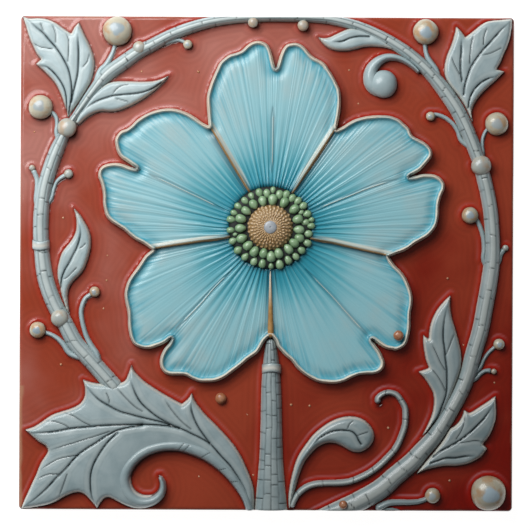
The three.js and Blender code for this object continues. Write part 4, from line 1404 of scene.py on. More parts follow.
@dataclass
class Vine:
    """The ring of vine, the stem, the twigs, the stalks and the tendril."""

    ring: Line = (
        (-45.2, -39.8, 5.4), (-46.5, -38.5, 5.4), (-50.6, -33.9, 5.3), (-56, -28, 5.2),
        (-58.7, -24.9, 5.2), (-62.3, -18.3, 5.1), (-65.7, -12, 5.1), (-68.2, -4.7, 5.1), (-69.4, 4, 4.8),
        (-69.7, 10, 4.9), (-69.5, 16, 4.9), (-68.6, 23, 4.6), (-66.6, 30, 4.6), (-64.3, 36, 4.3),
        (-61.6, 41.5, 3), (-59.3, 44.9, 2.4), (-56.6, 48.8, 3), (-53.4, 53.3, 3.5), (-49.5, 58, 4.4),
        (-44.2, 62, 4.5), (-39.5, 65.3, 4.2), (-35.7, 67.2, 4), (-30.3, 70.1, 3.7), (-24.3, 72.5, 3.6),
        (-18, 74.3, 3.3), (-12, 75.3, 3), (-4, 75.9, 2.8), (4, 76, 2.7), (12, 75.9, 2.8),
        (18.5, 75.5, 3), (22.8, 74.7, 3.1), (27.5, 73.4, 3.3), (33, 71.2, 3.5), (38.5, 68.3, 3.7),
        (44, 64.6, 3.9), (50, 59.1, 4.1), (54.9, 53.2, 4.7), (58.5, 47.8, 4.7), (61, 42.9, 4.6),
        (63.3, 37.5, 4.5), (65.9, 30.5, 4.4), (66.8, 27, 4.6), (67.9, 22.5, 4.6), (68.9, 17, 4.6),
        (69.4, 12, 4.6), (69.7, 6, 4.7), (69.5, 1, 5), (68.7, -5.4, 5.2), (67.5, -12.4, 5.2),
        (66.1, -20, 5.2), (64.1, -27, 5.2), (62.2, -33.8, 5.1), (60.2, -38.9, 5), (57.3, -44.4, 5),
        (54.2, -49.8, 5), (51.9, -53.3, 5.1), (47.9, -57.8, 5.4), (45.3, -60.8, 5.8), (40, -65.3, 6),
        (35.5, -69.3, 6.3), (28.8, -73.2, 6.3), (21, -77, 6.3), (13, -81, 6.3),
    )
    stem: Line = (
        (1.35, -23, 2.6), (1.45, -26, 3.7), (1.5, -29, 4.6), (1.6, -38, 6.1), (1.7, -50, 6.7),
        (1.7, -60, 7.4), (1.7, -68, 8.7), (1.7, -77, 10.4), (1.7, -84, 11),
    )
    tendril: Line = (
        (8.1, -75.2, 1.8), (8.6, -73.4, 1.9), (10, -71, 2), (12.2, -69.1, 2), (14.9, -68, 2),
        (18.4, -67.6, 2), (22.2, -67.5, 2), (25.7, -67.1, 2), (29.2, -65.8, 2), (32.4, -64.1, 2),
        (35.4, -61.8, 2), (37.8, -59.4, 2), (39.6, -57.4, 2), (41, -55, 2), (42.1, -52.3, 2),
        (42.9, -49.6, 2), (43.1, -46.9, 2), (42.9, -44.2, 2), (41.8, -42.1, 1.9), (40.2, -40.2, 1.8),
        (37.8, -39.5, 1.7), (35.7, -40.2, 1.7), (34.5, -41.5, 1.9), (34.8, -43, 2.3),
    )
    stalks: Sequence[Line] = (
        ((-51.5, 59.4, 1.8), (-49.9, 61, 1.7), (-48.7, 62.9, 1.6), (-47.7, 65, 1.4), (-47, 67.5, 1.3),
         (-46.6, 69, 1.3)),
        ((-65, 40.2, 1.5), (-64.8, 42.3, 1.4), (-65, 44.5, 1.4), (-66.1, 46.1, 1.4), (-67.6, 46.8, 1.4)),
        ((-71.1, 19, 1.7), (-70.9, 22.7, 1.6), (-70.9, 25.4, 1.6), (-71.5, 27.3, 1.6),
         (-72.3, 28.7, 1.8)),
        ((-66.6, 19.5, 1.4), (-65.7, 22.7, 1.3), (-64.8, 24.9, 1.3), (-63.4, 26.2, 1.5),
         (-61.8, 27.1, 1.9)),
        ((-32, 67.6, 1.5), (-29.5, 68.4, 1.3), (-27.3, 68.8, 1.3), (-25.2, 68, 1.2)),
        ((-60.4, -28, 2), (-62.6, -25.1, 1.8), (-64.2, -23.5, 1.6), (-66.1, -22.3, 1.4),
         (-69, -21.2, 1.3)),
        ((-52.1, -28.4, 1.9), (-53.7, -25.9, 1.8), (-55.3, -23, 1.7), (-56.2, -20.3, 1.6),
         (-56.8, -17.8, 1.6), (-57.1, -15.1, 1.6), (-56.6, -12.7, 1.6), (-55.6, -10.8, 1.5),
         (-53.6, -9.5, 1.5)),
        ((52, 59.8, 2), (50.7, 61.8, 1.9), (49.6, 63.4, 1.8), (48.9, 65.3, 1.5), (48.4, 69, 1.4)),
        ((66.6, 34, 1.3), (66.4, 36.8, 1.2), (66.6, 39.2, 1.2), (67.7, 41.5, 1.2), (69, 42.4, 1.2)),
        ((59.8, 38.4, 1.5), (58.8, 41, 1.4), (57.5, 43.1, 1.4), (55.6, 44.8, 1.4), (53.7, 45.8, 1.4),
         (51.8, 46.2, 1.4), (50.6, 45.8, 1.5)),
        ((66.9, 1.6, 1.5), (67.1, 4.9, 1.5), (66.9, 7.6, 1.5), (66.4, 10, 1.5), (65.6, 12.2, 1.5),
         (64.5, 14.1, 1.4), (63.2, 15, 1.4)),
        ((71.7, 1.2, 1.6), (72, 2.6, 1.6), (72.5, 3.8, 1.6), (73.4, 4.9, 1.8)),
        ((65.8, -32, 1.4), (67.2, -29.2, 1.2), (68.5, -27.3, 1.2), (70.2, -25.7, 1.2),
         (71.4, -24.8, 1.2)),
        ((64.4, -35.3, 1.5), (66.4, -33.4, 1.4), (68, -32.7, 1.4), (69.6, -32.8, 1.8)),
        ((34, -75.4, 2.6), (35.1, -75, 2.4), (37.9, -73.7, 2.1), (41.2, -73.4, 1.9), (44.8, -73.4, 1.7),
         (47.5, -73.1, 1.6), (50.4, -72, 1.5)),
        ((33.6, -77, 1.6), (36, -75.9, 1.2), (38.6, -75.5, 1), (41.4, -76, 0.8)),
    )

    root_reach: float = 4.0
    root_depth: float = 5.0

    def rooted(self, line: Line) -> Line:
        """Runs a stalk's foot on into the vine, tangent to its own first stretch."""
        foot, after = np.array(line[0], float), np.array(line[1], float)
        away, spot = nearest_on(open_curve(self.ring, 1.0)[:, :2], foot[None, :2])
        if not 1.5 < away[0] < self.root_reach:
            return line
        way = (foot - after)[:2]
        start = spot[0] + self.root_depth * way / np.hypot(*way)
        return [(*start, foot[2]), *line]

    def build(self, finishes: Finishes) -> None:
        """Builds every bar of the vine."""
        ring = Bar("vine_ring", self.ring, SIZES.vine_rise, growth=Growth.BARK, across=26, seed=3)
        ring.build(finishes.vine)
        stem = Bar(
            "stem",
            self.stem,
            SIZES.stem_rise,
            growth=Growth.BARK,
            across=44,
            step=0.3,
            grooves=(-0.5, 0.02, 0.52),
            crack_gap=(2.8, 8.0),
            crack_lean=0.15,
            lit=0.1,
            seed=8,
        )
        stem.build(finishes.vine)
        tendril = Bar(
            "tendril", self.tendril, 2.2, growth=Growth.BARK, grooves=(), across=18, step=0.28
        )
        tendril.build(finishes.leaf)
        stalks = []
        for index, line in enumerate(self.stalks):
            stalk = Bar(f"stalk_{index + 1}", self.rooted(line), across=14, step=0.34).shape()
            close_below(stalk)
            trim_to_sides(stalk)
            stalks.append(stalk)
        finish_piece(join_pieces("stalks_and_twigs", stalks), finishes.leaf)
        for collar in COLLARS:
            collar.build(finishes.vine)


BALL_SQUASH = 0.8


def glazed_ball(
    place: tuple[float, float],
    radius: float,
    level: float,
    patch: float,
    rng: np.random.Generator,
) -> Piece:
    """One flattened ball, slightly uneven, with painted shade on its lower part and a painted reflection
    on top.

    Args:
        place: Its middle in plan.
        radius: Its radius.
        level: The height of its middle over the ground.
        patch: How strong the painted reflection on top is.
        rng: Where its unevenness comes from.

    Returns:
        The ball, not yet glazed.
    """
    deselect_everything()
    segments, rings = (16, 10) if radius < 0.8 else (48, 28)
    bpy.ops.mesh.primitive_uv_sphere_add(segments=segments, ring_count=rings, radius=MM)
    part = bpy.context.object
    points = read_points(part)
    phase = rng.uniform(0, math.tau, 3)
    uneven = 1 + 0.02 * np.sin(points[:, 0] * 3 + phase[0]) * np.cos(points[:, 1] * 4 + phase[1])
    # Painted reflection: a pale swirled disc on top; painted shade: darker towards the bottom
    centre = rng.uniform(-0.12, 0.12, 2)
    from_top = np.hypot(points[:, 0] - centre[0], points[:, 1] - centre[1])
    swirl = 0.06 * np.sin(3 * np.arctan2(points[:, 1], points[:, 0]) + phase[2])
    disc = held((0.5 + swirl - from_top) / 0.1) * (points[:, 2] > 0)
    paint(part, edge=disc * patch, pool=held(0.3 - points[:, 2] * 1.1))
    shape = points * uneven[:, None] * (radius, radius, radius * BALL_SQUASH)
    write_points(part, shape + (*place, SIZES.ground + level))
    return part


@dataclass
class Berries:
    """Glazed balls on the vine, on stalks and loose on the ground, and tiny drops of glaze.

    Each ball has its place and radius, and a peach one also the level of its seat.
    """

    creams: Line = (
        (-46.3, 71.4, 4.5), (-69.8, 47.9, 3.75), (-70.4, -20.7, 2.5), (48.7, 71.6, 3.9),
        (70.7, 43.4, 3.55), (62.6, 15.2, 2.55), (51.5, -71.2, 2.35), (68.7, -70.4, 5.4),
        (71.7, -24.5, 1.7), (-52.9, -8.9, 1.6), (50.3, 45.6, 1.4), (-24.6, 67.4, 1.4),
    )
    knots: Line = (
        (-61.6, 41.5, 2.95), (65.9, 30.5, 3.1), (-63.6, -17, 2.7), (-39.5, 66.3, 1.95),
        (-4.5, 74.2, 1.6), (10.9, 73.3, 1.7),
    )
    twig_tips: Line = (
        (-72.4, 29.2, 0.9), (-61.2, 27.4, 1.4), (73.6, 5.2, 0.9), (70.2, -32.9, 0.85),
    )
    peaches: Sequence[tuple[float, float, float, float]] = (
        (40.6, -21.9, 1.6, 3.4), (23.9, -73.9, 1.3, 3.0), (-13.9, -41.6, 1.7, 0.3),
    )
    drops: Points = (
        (-71.8, 40.3), (-21.3, 59.1), (25.2, 59.8), (28.1, 49.5), (-62.8, 13.8), (-49.1, 2.3),
        (-49.3, -5.4), (-50.2, -14.1), (-63.3, -31.4), (-5.7, -46.6), (7.8, -43.5), (13.5, -43.8),
        (-20.5, -65.8), (-3.8, -65.3), (55.9, -4.3), (60.9, -24.8), (37.8, -50.5), (70.5, -36.4),
        (56.8, -66.7), (-38.8, 59.1),
    )
    seat: float = 1.4
    rise_to_radius: float = 0.75
    knot_level: float = 2.2
    tip_level: float = 0.9
    peach_lift: float = 0.35
    drop_level: float = 0.02
    drop_radii: tuple[float, float] = (0.32, 0.5)

    def build(self, finishes: Finishes) -> None:
        """Builds the berries, the knots, the peach balls and the drops."""
        rng = np.random.default_rng(21)
        berries = [
            glazed_ball(
                (x, y),
                radius,
                self.seat + radius * self.rise_to_radius - radius * BALL_SQUASH,
                rng.uniform(0.55, 0.95),
                rng,
            )
            for x, y, radius in self.creams
        ]
        finish_piece(join_pieces("berries", berries), finishes.berry)
        knots = [glazed_ball((x, y), radius, self.knot_level, 0.25, rng) for x, y, radius in self.knots]
        knots += [
            glazed_ball((x, y), radius, self.tip_level, 0.25, rng) for x, y, radius in self.twig_tips
        ]
        finish_piece(join_pieces("knots", knots), finishes.knot)
        peaches = [
            glazed_ball((x, y), radius, seat + radius * self.peach_lift, 0.3, rng)
            for x, y, radius, seat in self.peaches
        ]
        finish_piece(join_pieces("peach_balls", peaches), finishes.peach)
        drops = [
            glazed_ball(spot, rng.uniform(*self.drop_radii), self.drop_level, 0.6, rng)
            for spot in self.drops
        ]
        finish_piece(join_pieces("glaze_drops", drops), finishes.peach)


# Leaves


@dataclass
class Leaf:
    """A flat-cut leaf with rounded edges and incised veins."""

    name: str
    outline: Sequence[Row]
    veins: Sequence[Points]
    side_veins: Sequence[Points] = ()
    rise: float = SIZES.leaf_rise
    crown: float = 0.55
    cell: float = 0.3
    edge_round: float = 1.5
    vein_depth: float = 0.5
    vein_width: float = 0.2
    valley: float = 0.22
    hatch_pitch: float = 1.15
    hatch_height: float = 0.012
    hatch_shade: float = 0.07
    seed: int = 1

    def cut_out(self) -> tuple[Piece, Array]:
        """Cuts a close grid to the outline and sets its border on the outline.

        Returns:
            The flat piece and its outline.
        """
        outline = closed_outline(self.outline, 0.6)
        low, high = outline.min(0) - self.cell, outline.max(0) + self.cell
        cells = np.maximum(np.rint((high - low) / self.cell).astype(int), 1)
        piece, column, row = add_grid(self.name, int(cells[0]), int(cells[1]))
        plan = low + np.stack([column, row], 1) * self.cell
        gap, spot = nearest_on(outline, plan, closed=True)
        inside = points_inside(outline, plan)
        snapped = np.where((inside & (gap > 0.3 * self.cell))[:, None], plan, spot)
        write_points(piece, np.column_stack([snapped, np.zeros(len(plan))]))
        delete_vertices(piece, ~inside & (gap > 0.75 * self.cell))
        return piece, outline

    def surface(self, plan: Array, outline: Array) -> tuple[Array, ...]:
        """The leaf's height above the ground, and how deep and how worn the glaze is."""
        to_edge = distance_to(outline, plan, closed=True)
        side = held(1 - to_edge / self.edge_round)
        height = self.rise * np.sqrt(np.maximum(1 - side**2.2, 0))
        height += self.crown * (1 - np.exp(-to_edge / 3))
        pool = np.zeros(len(plan))
        near_vein = np.full(len(plan), FAR)
        for lines, depth, width in (
            (self.veins, 1.0, self.vein_width),
            (self.side_veins, 0.5, self.vein_width * 0.7),
        ):
            for line in lines:
                curve = open_curve(line, 0.6)
                gap, share = distance_along(curve, plan)
                taper = np.clip(np.minimum(share, 1 - share * 0.55) * 5, 0.12, 1)
                near_vein = np.minimum(near_vein, gap + (1 - depth) * 1.2)
                dark = held(1.35 * bump_at(gap, width * 1.1))
                pool = np.maximum(pool, depth**0.3 * taper**0.6 * dark)
                height -= depth * self.valley * taper * bump_at(gap, 1.15)
                height -= depth * self.vein_depth * taper * bump_at(gap, width * 1.15)
        rng = np.random.default_rng(self.seed)
        waves = np.sin(near_vein * math.tau / self.hatch_pitch + rng.uniform(0, 6))
        height += self.hatch_height * waves * held(3 - near_vein) * held(to_edge - 0.6)
        worn = 0.75 * bump_at(to_edge - 0.35, 0.36)
        worn = np.maximum(worn, 0.1 * bump_at(near_vein - 1.2, 0.7) * (to_edge > 0.8))
        stroke = self.hatch_shade * held(waves) * held(1.6 - np.abs(near_vein - 2))
        pool = np.maximum(pool, stroke * held(to_edge - 0.8))
        foot = 0.7 * held(1 - to_edge / 0.12)
        return height, np.maximum(pool, foot), worn

    def build(self, finishes: Finishes) -> None:
        """Builds, closes, trims and glazes the leaf."""
        piece, outline = self.cut_out()
        plan = read_points(piece)[:, :2]
        height, pool, worn = self.surface(plan, outline)
        drop = SIZES.arris_drop(*plan.T)
        write_points(piece, np.column_stack([plan, SIZES.ground + height - drop]))
        paint(piece, pool=pool, edge=worn)
        close_below(piece)
        trim_to_sides(piece)
        finish_piece(piece, finishes.leaf)


LEAVES = [
    Leaf(
        "leaf_top_left",
        outline=[
            (-75.6, 75.9, S), (-73.4, 75.3), (-70.5, 75.4), (-67.7, 75), (-65.2, 73.9), (-62.9, 72.3),
            (-60.5, 70.7, S), (-59.6, 72.6), (-58.1, 74.3, S), (-57.2, 72.2), (-56.1, 69.9),
            (-54.9, 67.5), (-53.9, 65), (-53.3, 62.6), (-53.3, 60.2), (-53.8, 57.8), (-54.5, 55.6),
            (-56.1, 52.7), (-58, 49.6), (-60, 46.9), (-61.5, 44.5, S), (-62.1, 47), (-62.9, 49.6),
            (-64.2, 52.8), (-65.8, 55.6), (-68.5, 58.5), (-71.5, 61.2, S), (-69.9, 62.6, S),
            (-71.2, 64.2), (-72.1, 66.1), (-73.1, 68.2), (-73.9, 70.4), (-74.7, 73.2),
        ],
        veins=[
            [(-73.9, 75), (-71.5, 72.6), (-69.1, 70.7), (-67.2, 68.5), (-65.3, 66.4), (-63.7, 64.2),
             (-62.3, 61.8), (-61.2, 59.4), (-60.6, 56.9), (-60.2, 54.2), (-60.2, 51.5), (-60.7, 48.3),
             (-61.2, 45.8)],
            [(-58.4, 70.2), (-58.1, 63.9), (-58.4, 58), (-59.1, 54.8), (-59.8, 52.1), (-60.3, 49.4)],
            [(-70.2, 60.7), (-68, 60.2), (-66.1, 58.8), (-64.2, 56.6), (-62.9, 54.5), (-62.1, 52.3),
             (-61.8, 49.6), (-61.8, 46.1)],
        ],
        side_veins=[
            [(-69.9, 73.7), (-69.1, 71.5)],
            [(-66.4, 73.4), (-65.3, 71), (-65.2, 67.7)],
            [(-62.1, 70.7), (-61.2, 68.5), (-61.2, 65), (-61.4, 61.8)],
            [(-72.3, 67.7), (-70.2, 66.4), (-66.1, 65.7)],
            [(-54.9, 64.5), (-55.3, 62.1), (-56.6, 60.3)],
        ],
        seed=31,
    ),
    Leaf(
        "leaf_top_left_inner",
        outline=[
            (-59.4, 43.1, S), (-58.2, 46), (-56.4, 48.8), (-54.8, 51), (-52.9, 52.9), (-51, 54.4),
            (-48.8, 55.6), (-46, 56.1), (-42.9, 56.1), (-39, 56), (-35.1, 56.2), (-32.4, 57),
            (-30, 58.1, S), (-32.2, 55.3), (-34.9, 52.9), (-37.4, 51), (-40, 49.4), (-42.8, 48),
            (-45.6, 46.9), (-48.3, 46.5), (-51, 46.6), (-53.2, 46), (-55, 45), (-56.6, 43.7),
            (-58, 42.3, S),
        ],
        veins=[
            [(-56.9, 46.4), (-54.5, 48.5), (-52.1, 49.9), (-49.6, 50.8), (-47.5, 51.4), (-44.2, 51.8),
             (-40.2, 52.2), (-37.8, 52.7), (-35.1, 53.9), (-32.7, 55.6)],
        ],
        side_veins=[
            [(-47.7, 51.8), (-46.4, 53.4), (-44.8, 54.5), (-42.9, 55)],
            [(-46.9, 50.7), (-42.9, 49.6)],
        ],
        seed=32,
    ),
    Leaf(
        "leaf_left",
        outline=[
            (-59.8, 17.3, S), (-57.6, 15), (-56.1, 12.7), (-54.8, 10.3), (-54.1, 7.8), (-54.1, 5),
            (-54.6, 2.4), (-55.3, 0.2), (-56.1, -1.9), (-57.6, -3.9), (-59.4, -5.7), (-60.6, -7.5),
            (-61.1, -9.5), (-61, -12.6), (-60.4, -16.2, S), (-61.6, -14.6), (-62.3, -12.7),
            (-63.2, -10.1), (-63.8, -7.3), (-64.4, -4.7), (-64.5, -2.2), (-64, 0.5), (-63.1, 3.2),
            (-61.7, 5.1), (-60.2, 7), (-59.1, 9.2), (-58.7, 11.6), (-59, 14.4),
        ],
        veins=[
            [(-57.5, 11.4), (-57.3, 8.9), (-57.7, 6.8), (-58.4, 4.6), (-59.6, 2.2), (-60.7, 0),
             (-62.1, -2.4), (-63, -4.9), (-63.4, -7.6)],
        ],
        side_veins=[
            [(-57.7, 4.3), (-56.4, 5.1), (-55.8, 5.9)],
            [(-62.9, -5), (-61.8, -4.9), (-60.2, -3.5), (-58.5, -1.6)],
        ],
        seed=33,
    ),
    Leaf(
        "leaf_top_middle",
        outline=[
            (15.3, 70.2, S), (17, 69.7), (18.9, 69.9), (20.9, 70.8), (23, 71.8), (25.1, 72.6),
            (27.3, 72.7), (30.6, 71.8), (33.8, 70.3), (37, 68), (40, 65.3, S), (37.6, 66.3),
            (35.1, 66.8), (32.4, 67), (29.7, 66.8), (27, 66.1), (24.3, 65.6), (21.6, 65.6), (18.9, 66.4),
            (16.8, 68.1),
        ],
        veins=[[(20, 68.3), (23, 68.5), (25.1, 69.4), (27.8, 70), (31.4, 70)]],
        seed=34,
    ),
    Leaf(
        "leaf_top_right",
        outline=[
            (75.4, 75.9, S), (71.4, 75.5), (67.7, 75), (65.5, 73.8), (63.7, 72.3), (62.3, 71.2),
            (61, 70.2, S), (59.8, 71.9), (58.1, 73.5, S), (57.5, 70.6), (56.6, 67.7), (55.2, 64.2),
            (54.5, 60.7), (54.6, 58.6), (55.3, 56.6), (57, 54.1), (59.1, 51.5), (60.9, 48.7),
            (62.3, 45.8), (63.3, 43.5), (64, 41, S), (63.3, 44.6), (63.3, 48), (64.9, 51.1),
            (67.2, 53.7), (70.3, 56.6), (73.3, 59.6, S), (70.8, 60.3, S), (72, 62.5), (72.9, 64.8),
            (74, 67.3), (74.8, 69.9), (75.3, 73),
        ],
        veins=[
            [(74.2, 74.5), (71.5, 71.8), (69.1, 69.1), (66.6, 66.4), (64.5, 63.7), (62.6, 60.7),
             (61.5, 57.7), (60.7, 54.8), (60.4, 52.1)],
            [(59.6, 69.1), (59.6, 65.8), (59.4, 62.9), (59.4, 59.6), (59.9, 56.4)],
            [(70.4, 57.9), (67.7, 57.1), (65.3, 55.6), (63.4, 53.4), (62.3, 51), (61.8, 48.3)],
        ],
        side_veins=[
            [(67.5, 72.9), (66.6, 70.2), (66.4, 67.7)],
            [(63.4, 71), (62.6, 67.2), (62.2, 61.8)],
            [(65.8, 64.4), (68.5, 65), (71.8, 66.6)],
            [(56.6, 63.9), (57.5, 61.5), (59.1, 58.5)],
        ],
        seed=35,
    ),
    Leaf(
        "leaf_right",
        outline=[
            (56.8, -9.3, S), (56.8, -12.7), (57.3, -16.2), (58.4, -19.8), (59.4, -23.5), (60.2, -27.3),
            (60.2, -31.1), (59.2, -35), (57.7, -38.9), (56.3, -42.5), (54.5, -46), (50.4, -50.8),
            (45.8, -55.8, S), (48.1, -52.8), (49.9, -49.4), (51.3, -45.8), (51.8, -42.1), (51.4, -39.5),
            (50.2, -37.3), (48.7, -35.1), (46.8, -33.1, S), (48.6, -32.5), (50.2, -31.9, S),
            (49.3, -29.7), (48.8, -27.3), (48.4, -24.5), (48.4, -21.6, S), (50.1, -23, S), (50.3, -20.1),
            (51, -17.3), (52.3, -14.5), (54.2, -11.9),
        ],
        veins=[
            [(55.6, -13), (54.9, -16.2), (54.5, -20), (54.5, -23.2), (54.9, -25.9), (55.2, -29.2),
             (55.6, -32.4), (55.7, -35.7), (55.6, -39), (55.2, -41), (54.2, -43.7), (53.1, -46.6),
             (51.5, -49.1), (50.2, -51.2)],
        ],
        side_veins=[
            [(50.3, -31.7), (52.2, -33.6), (54, -36.4), (55.2, -38.8)],
            [(51, -24.5), (52.2, -27), (53.6, -30.1), (55, -32.4)],
            [(57.9, -21), (56.8, -24), (55.4, -27.6)],
        ],
        seed=36,
    ),
    Leaf(
        "leaf_bottom_right",
        outline=[
            (70.8, -40.4, S), (68.2, -42.3), (65.3, -44.2), (64, -45.1), (62.7, -45.7, S), (61.9, -45.2),
            (61.1, -44.6, S), (60.6, -46.5), (59.6, -48.3), (58.3, -49.6), (56.6, -50.7), (55.2, -53.1),
            (53.7, -55.3), (52, -57.5), (50.2, -59.6), (48.1, -62.2), (46.1, -65, S), (48.7, -63.7),
            (51.5, -62.9), (55.3, -62.2), (59.1, -62.1), (62.5, -61.4), (65.6, -59.9), (67.2, -58.4),
            (68.4, -56.6, S), (67.1, -55.3, S), (69.1, -52.6), (70.4, -49.6), (71, -47.2), (71.1, -44.8),
        ],
        veins=[
            [(69.9, -43.1), (67.5, -46.9), (65, -49.6), (62.3, -52.1), (59.6, -54.2), (56.9, -55.8),
             (54.2, -57.2), (51.5, -59.1)],
            [(63.9, -58.8), (61, -59.1), (58.5, -59.5), (55.6, -59.6), (53.1, -60.4), (50.7, -61.2)],
        ],
        side_veins=[
            [(61.2, -46.8), (60.8, -49.4), (59.9, -51.6), (58.6, -53.6)],
            [(67, -54.5), (64.3, -54.2), (61.6, -54.6), (59.4, -55)],
        ],
        seed=37,
    ),
    Leaf(
        "leaf_beside_stem",
        outline=[
            (7.3, -76.1, S), (7, -73), (7.2, -69.9), (8, -65.5), (9.2, -61.2), (10.5, -58.3),
            (12.2, -55.8), (14.3, -53), (16.8, -50.7), (19.5, -48.8), (22.4, -47.5), (25.5, -46.9),
            (28.4, -47.2), (30.7, -48.2), (32.4, -49.9), (33.3, -51.5), (33.5, -53.4), (32.8, -55.4),
            (31.4, -56.9), (29.6, -57.9), (27.6, -58.1), (25.5, -57.4), (23.8, -56.4), (21.8, -55.5),
            (19.5, -55.2), (17.4, -55.8), (15.7, -56.9), (13.7, -59), (11.9, -61.5), (10.4, -65.4),
            (9.2, -69.6), (8.3, -73),
        ],
        veins=[
            [(14.6, -55.3), (16.8, -53.4), (18.9, -52.1), (21.6, -51.2), (24.3, -51.1), (26.5, -51.5),
             (27.8, -52.6), (28.6, -54.2), (29.4, -55.4)],
        ],
        side_veins=[
            [(25, -50.9), (25.6, -49.4), (26.8, -48.2)],
            [(28, -52.8), (29.6, -52.2), (31.4, -51.6)],
        ],
        rise=2.9,
        crown=0.9,
        edge_round=2.1,
        seed=38,
    ),
    Leaf(
        "leaf_acanthus",
        outline=[
            (-56.6, -35.9, S), (-53.2, -36.9), (-49.6, -37.2), (-46.6, -37.1), (-43.7, -36.4),
            (-42.4, -33.9), (-41.5, -31.1, S), (-40.8, -32.8), (-39.6, -34.3), (-37.3, -36.5),
            (-34.6, -38.3), (-31.9, -40), (-29.2, -41.5), (-27.4, -42.5), (-25.9, -43.3, S),
            (-24, -41.7), (-22.7, -39.6, S), (-22.2, -41.6), (-21.1, -43.4), (-18.3, -46.8),
            (-15.1, -49.9), (-12.1, -53.1), (-9.2, -56.6), (-7.1, -60.1), (-5.4, -63.9), (-4.3, -66.6),
            (-3.6, -69.4), (-3.3, -72.5), (-3.4, -76.1, S), (-5.4, -76.1, S), (-7.7, -71),
            (-10.8, -66.9), (-13.9, -64), (-17.3, -61.8), (-21, -59.7), (-24.9, -58.3), (-29, -57.7),
            (-33.2, -58.1), (-36.8, -59.7), (-39.6, -62.3), (-41, -64.2), (-41.4, -66.4), (-41, -68.5),
            (-39.9, -70.2), (-38.2, -71.2), (-36.2, -71.5), (-34.5, -71.2), (-33.2, -70.4),
            (-32.6, -67.7), (-33, -65.1, S), (-31.5, -66.1), (-30.7, -67.6), (-30.5, -69.9),
            (-31.4, -72.1), (-33, -73.8), (-35.1, -75), (-37.6, -75.7), (-40.1, -75.7), (-43.6, -74.6),
            (-46.9, -72.9, S), (-48.3, -72.3), (-49.4, -72.5), (-50.7, -73.9), (-51.9, -75.9, S),
            (-53, -74.4), (-54.2, -73.1), (-55.8, -71.5), (-57.5, -70.8), (-59.7, -71.2), (-61.8, -72.1),
            (-64, -73.4), (-66.4, -74.5), (-70.8, -75.4), (-75.4, -76, S), (-74.4, -73.2),
            (-73.1, -70.4), (-72.1, -68.1), (-71, -65.8), (-69.4, -61.8), (-67.2, -58), (-67.9, -56.6),
            (-69.6, -55.6), (-71.8, -53.8), (-74.4, -51.5, S), (-72.1, -50.8), (-69.9, -49.6),
            (-67.7, -48), (-65.3, -46.6), (-62.6, -45.7), (-59.9, -44.8), (-57.6, -43.6), (-56.1, -41.6),
            (-55.9, -38.8),
        ],
        veins=[
            [(-74.5, -75), (-71.2, -72.9), (-67.7, -69.9), (-64.5, -66.4), (-61.2, -63.1),
             (-58.5, -59.9), (-55.6, -57.5), (-52.1, -55.3), (-48.8, -53.1), (-45.6, -51.5),
             (-42.3, -50.6), (-38, -49.9)],
            [(-73.4, -52.3), (-67.2, -52.2), (-63.1, -51.6), (-60.4, -51), (-56.4, -50.6),
             (-52.3, -50.2), (-48.3, -49.9), (-42.9, -49.8), (-38, -49.6)],
            [(-54.8, -38.3), (-53.1, -40.4), (-51, -42.3), (-48.3, -43.9), (-45, -45.6), (-41.5, -46.6),
             (-38, -47.5), (-35.9, -48), (-32.4, -48.8), (-29.2, -49.9)],
            [(-41.6, -36.2), (-40.7, -38.6), (-39.9, -40.5), (-38.4, -42.9), (-35.9, -45.3),
             (-33, -47.5), (-29.7, -49.4), (-26.5, -50.7)],
            [(-23.1, -42.9), (-22.8, -45.3), (-21.9, -48), (-20.5, -50.7), (-18.6, -53.4), (-17, -55.6)],
            [(-52.5, -74.2), (-53.4, -71.8), (-53.8, -68.5), (-53.7, -65), (-52.9, -62.1),
             (-51.5, -59.4), (-49.9, -56.9), (-48, -54.5), (-45.6, -52.3)],
            [(-5.2, -74.6), (-6.2, -69.9), (-8.1, -66.4), (-10.8, -62.3), (-13.5, -59.4), (-17, -55.6),
             (-19.7, -53.9), (-22.4, -52.6), (-25.4, -51.2), (-29.2, -50.2), (-33.2, -49.8),
             (-38, -49.6)],
        ],
        side_veins=[
            [(-67.7, -48.6), (-65, -48.8), (-61.5, -50), (-60.5, -50.8)],
            [(-62, -46), (-59, -47.2), (-56, -49), (-54, -49.9)],
            [(-70, -66.5), (-67.5, -65.3), (-65, -64.9), (-63.6, -65.2)],
            [(-69, -63.5), (-64, -60.5), (-60, -59.5), (-58, -59.3)],
            [(-66, -57.5), (-60, -55.7), (-54, -53.8), (-48, -51.8)],
            [(-63.5, -72), (-62, -68), (-61, -65)],
            [(-48.3, -43.7), (-48.2, -42), (-49, -40)],
            [(-46, -38.3), (-43, -41.5), (-40, -44.3), (-38, -45.5)],
            [(-31, -42), (-29, -45), (-26, -48.5), (-23, -51)],
        ],
        rise=2.5,
        crown=1.0,
        edge_round=1.7,
        seed=39,
    ),
]

# The acanthus leaf's lower edge rolls over into a curl, and a scroll ends the top twig
ACANTHUS_ROLL = [
    (-4.4, -76.8, 2.6), (-6.2, -71.8, 3), (-8.8, -67.6, 3.4), (-11.8, -63.9, 3.9), (-15.2, -60.8, 4.4),
    (-18.6, -58.5, 4.7), (-22.4, -57, 4.6), (-26.4, -56.1, 4.2), (-30, -56, 4), (-33.4, -56.5, 3.9),
    (-36.4, -57.5, 4), (-39.2, -59.2, 4), (-41.6, -61.6, 4.1), (-43.1, -64.2, 4.3), (-43.7, -66.8, 4.4),
    (-43.2, -69.4, 4.4), (-41.8, -71.7, 4.3), (-39.6, -73.2, 4), (-37.2, -73.6, 3.7),
    (-34.8, -73.1, 3.3), (-32.9, -71.8, 2.9), (-31.8, -69.9, 2.4), (-31.7, -67.8, 2), (-32.6, -65.6, 1.3),
]
ROLL_CRACKS = (11.0, 16.2, 23.3, 29.6, 31.4)
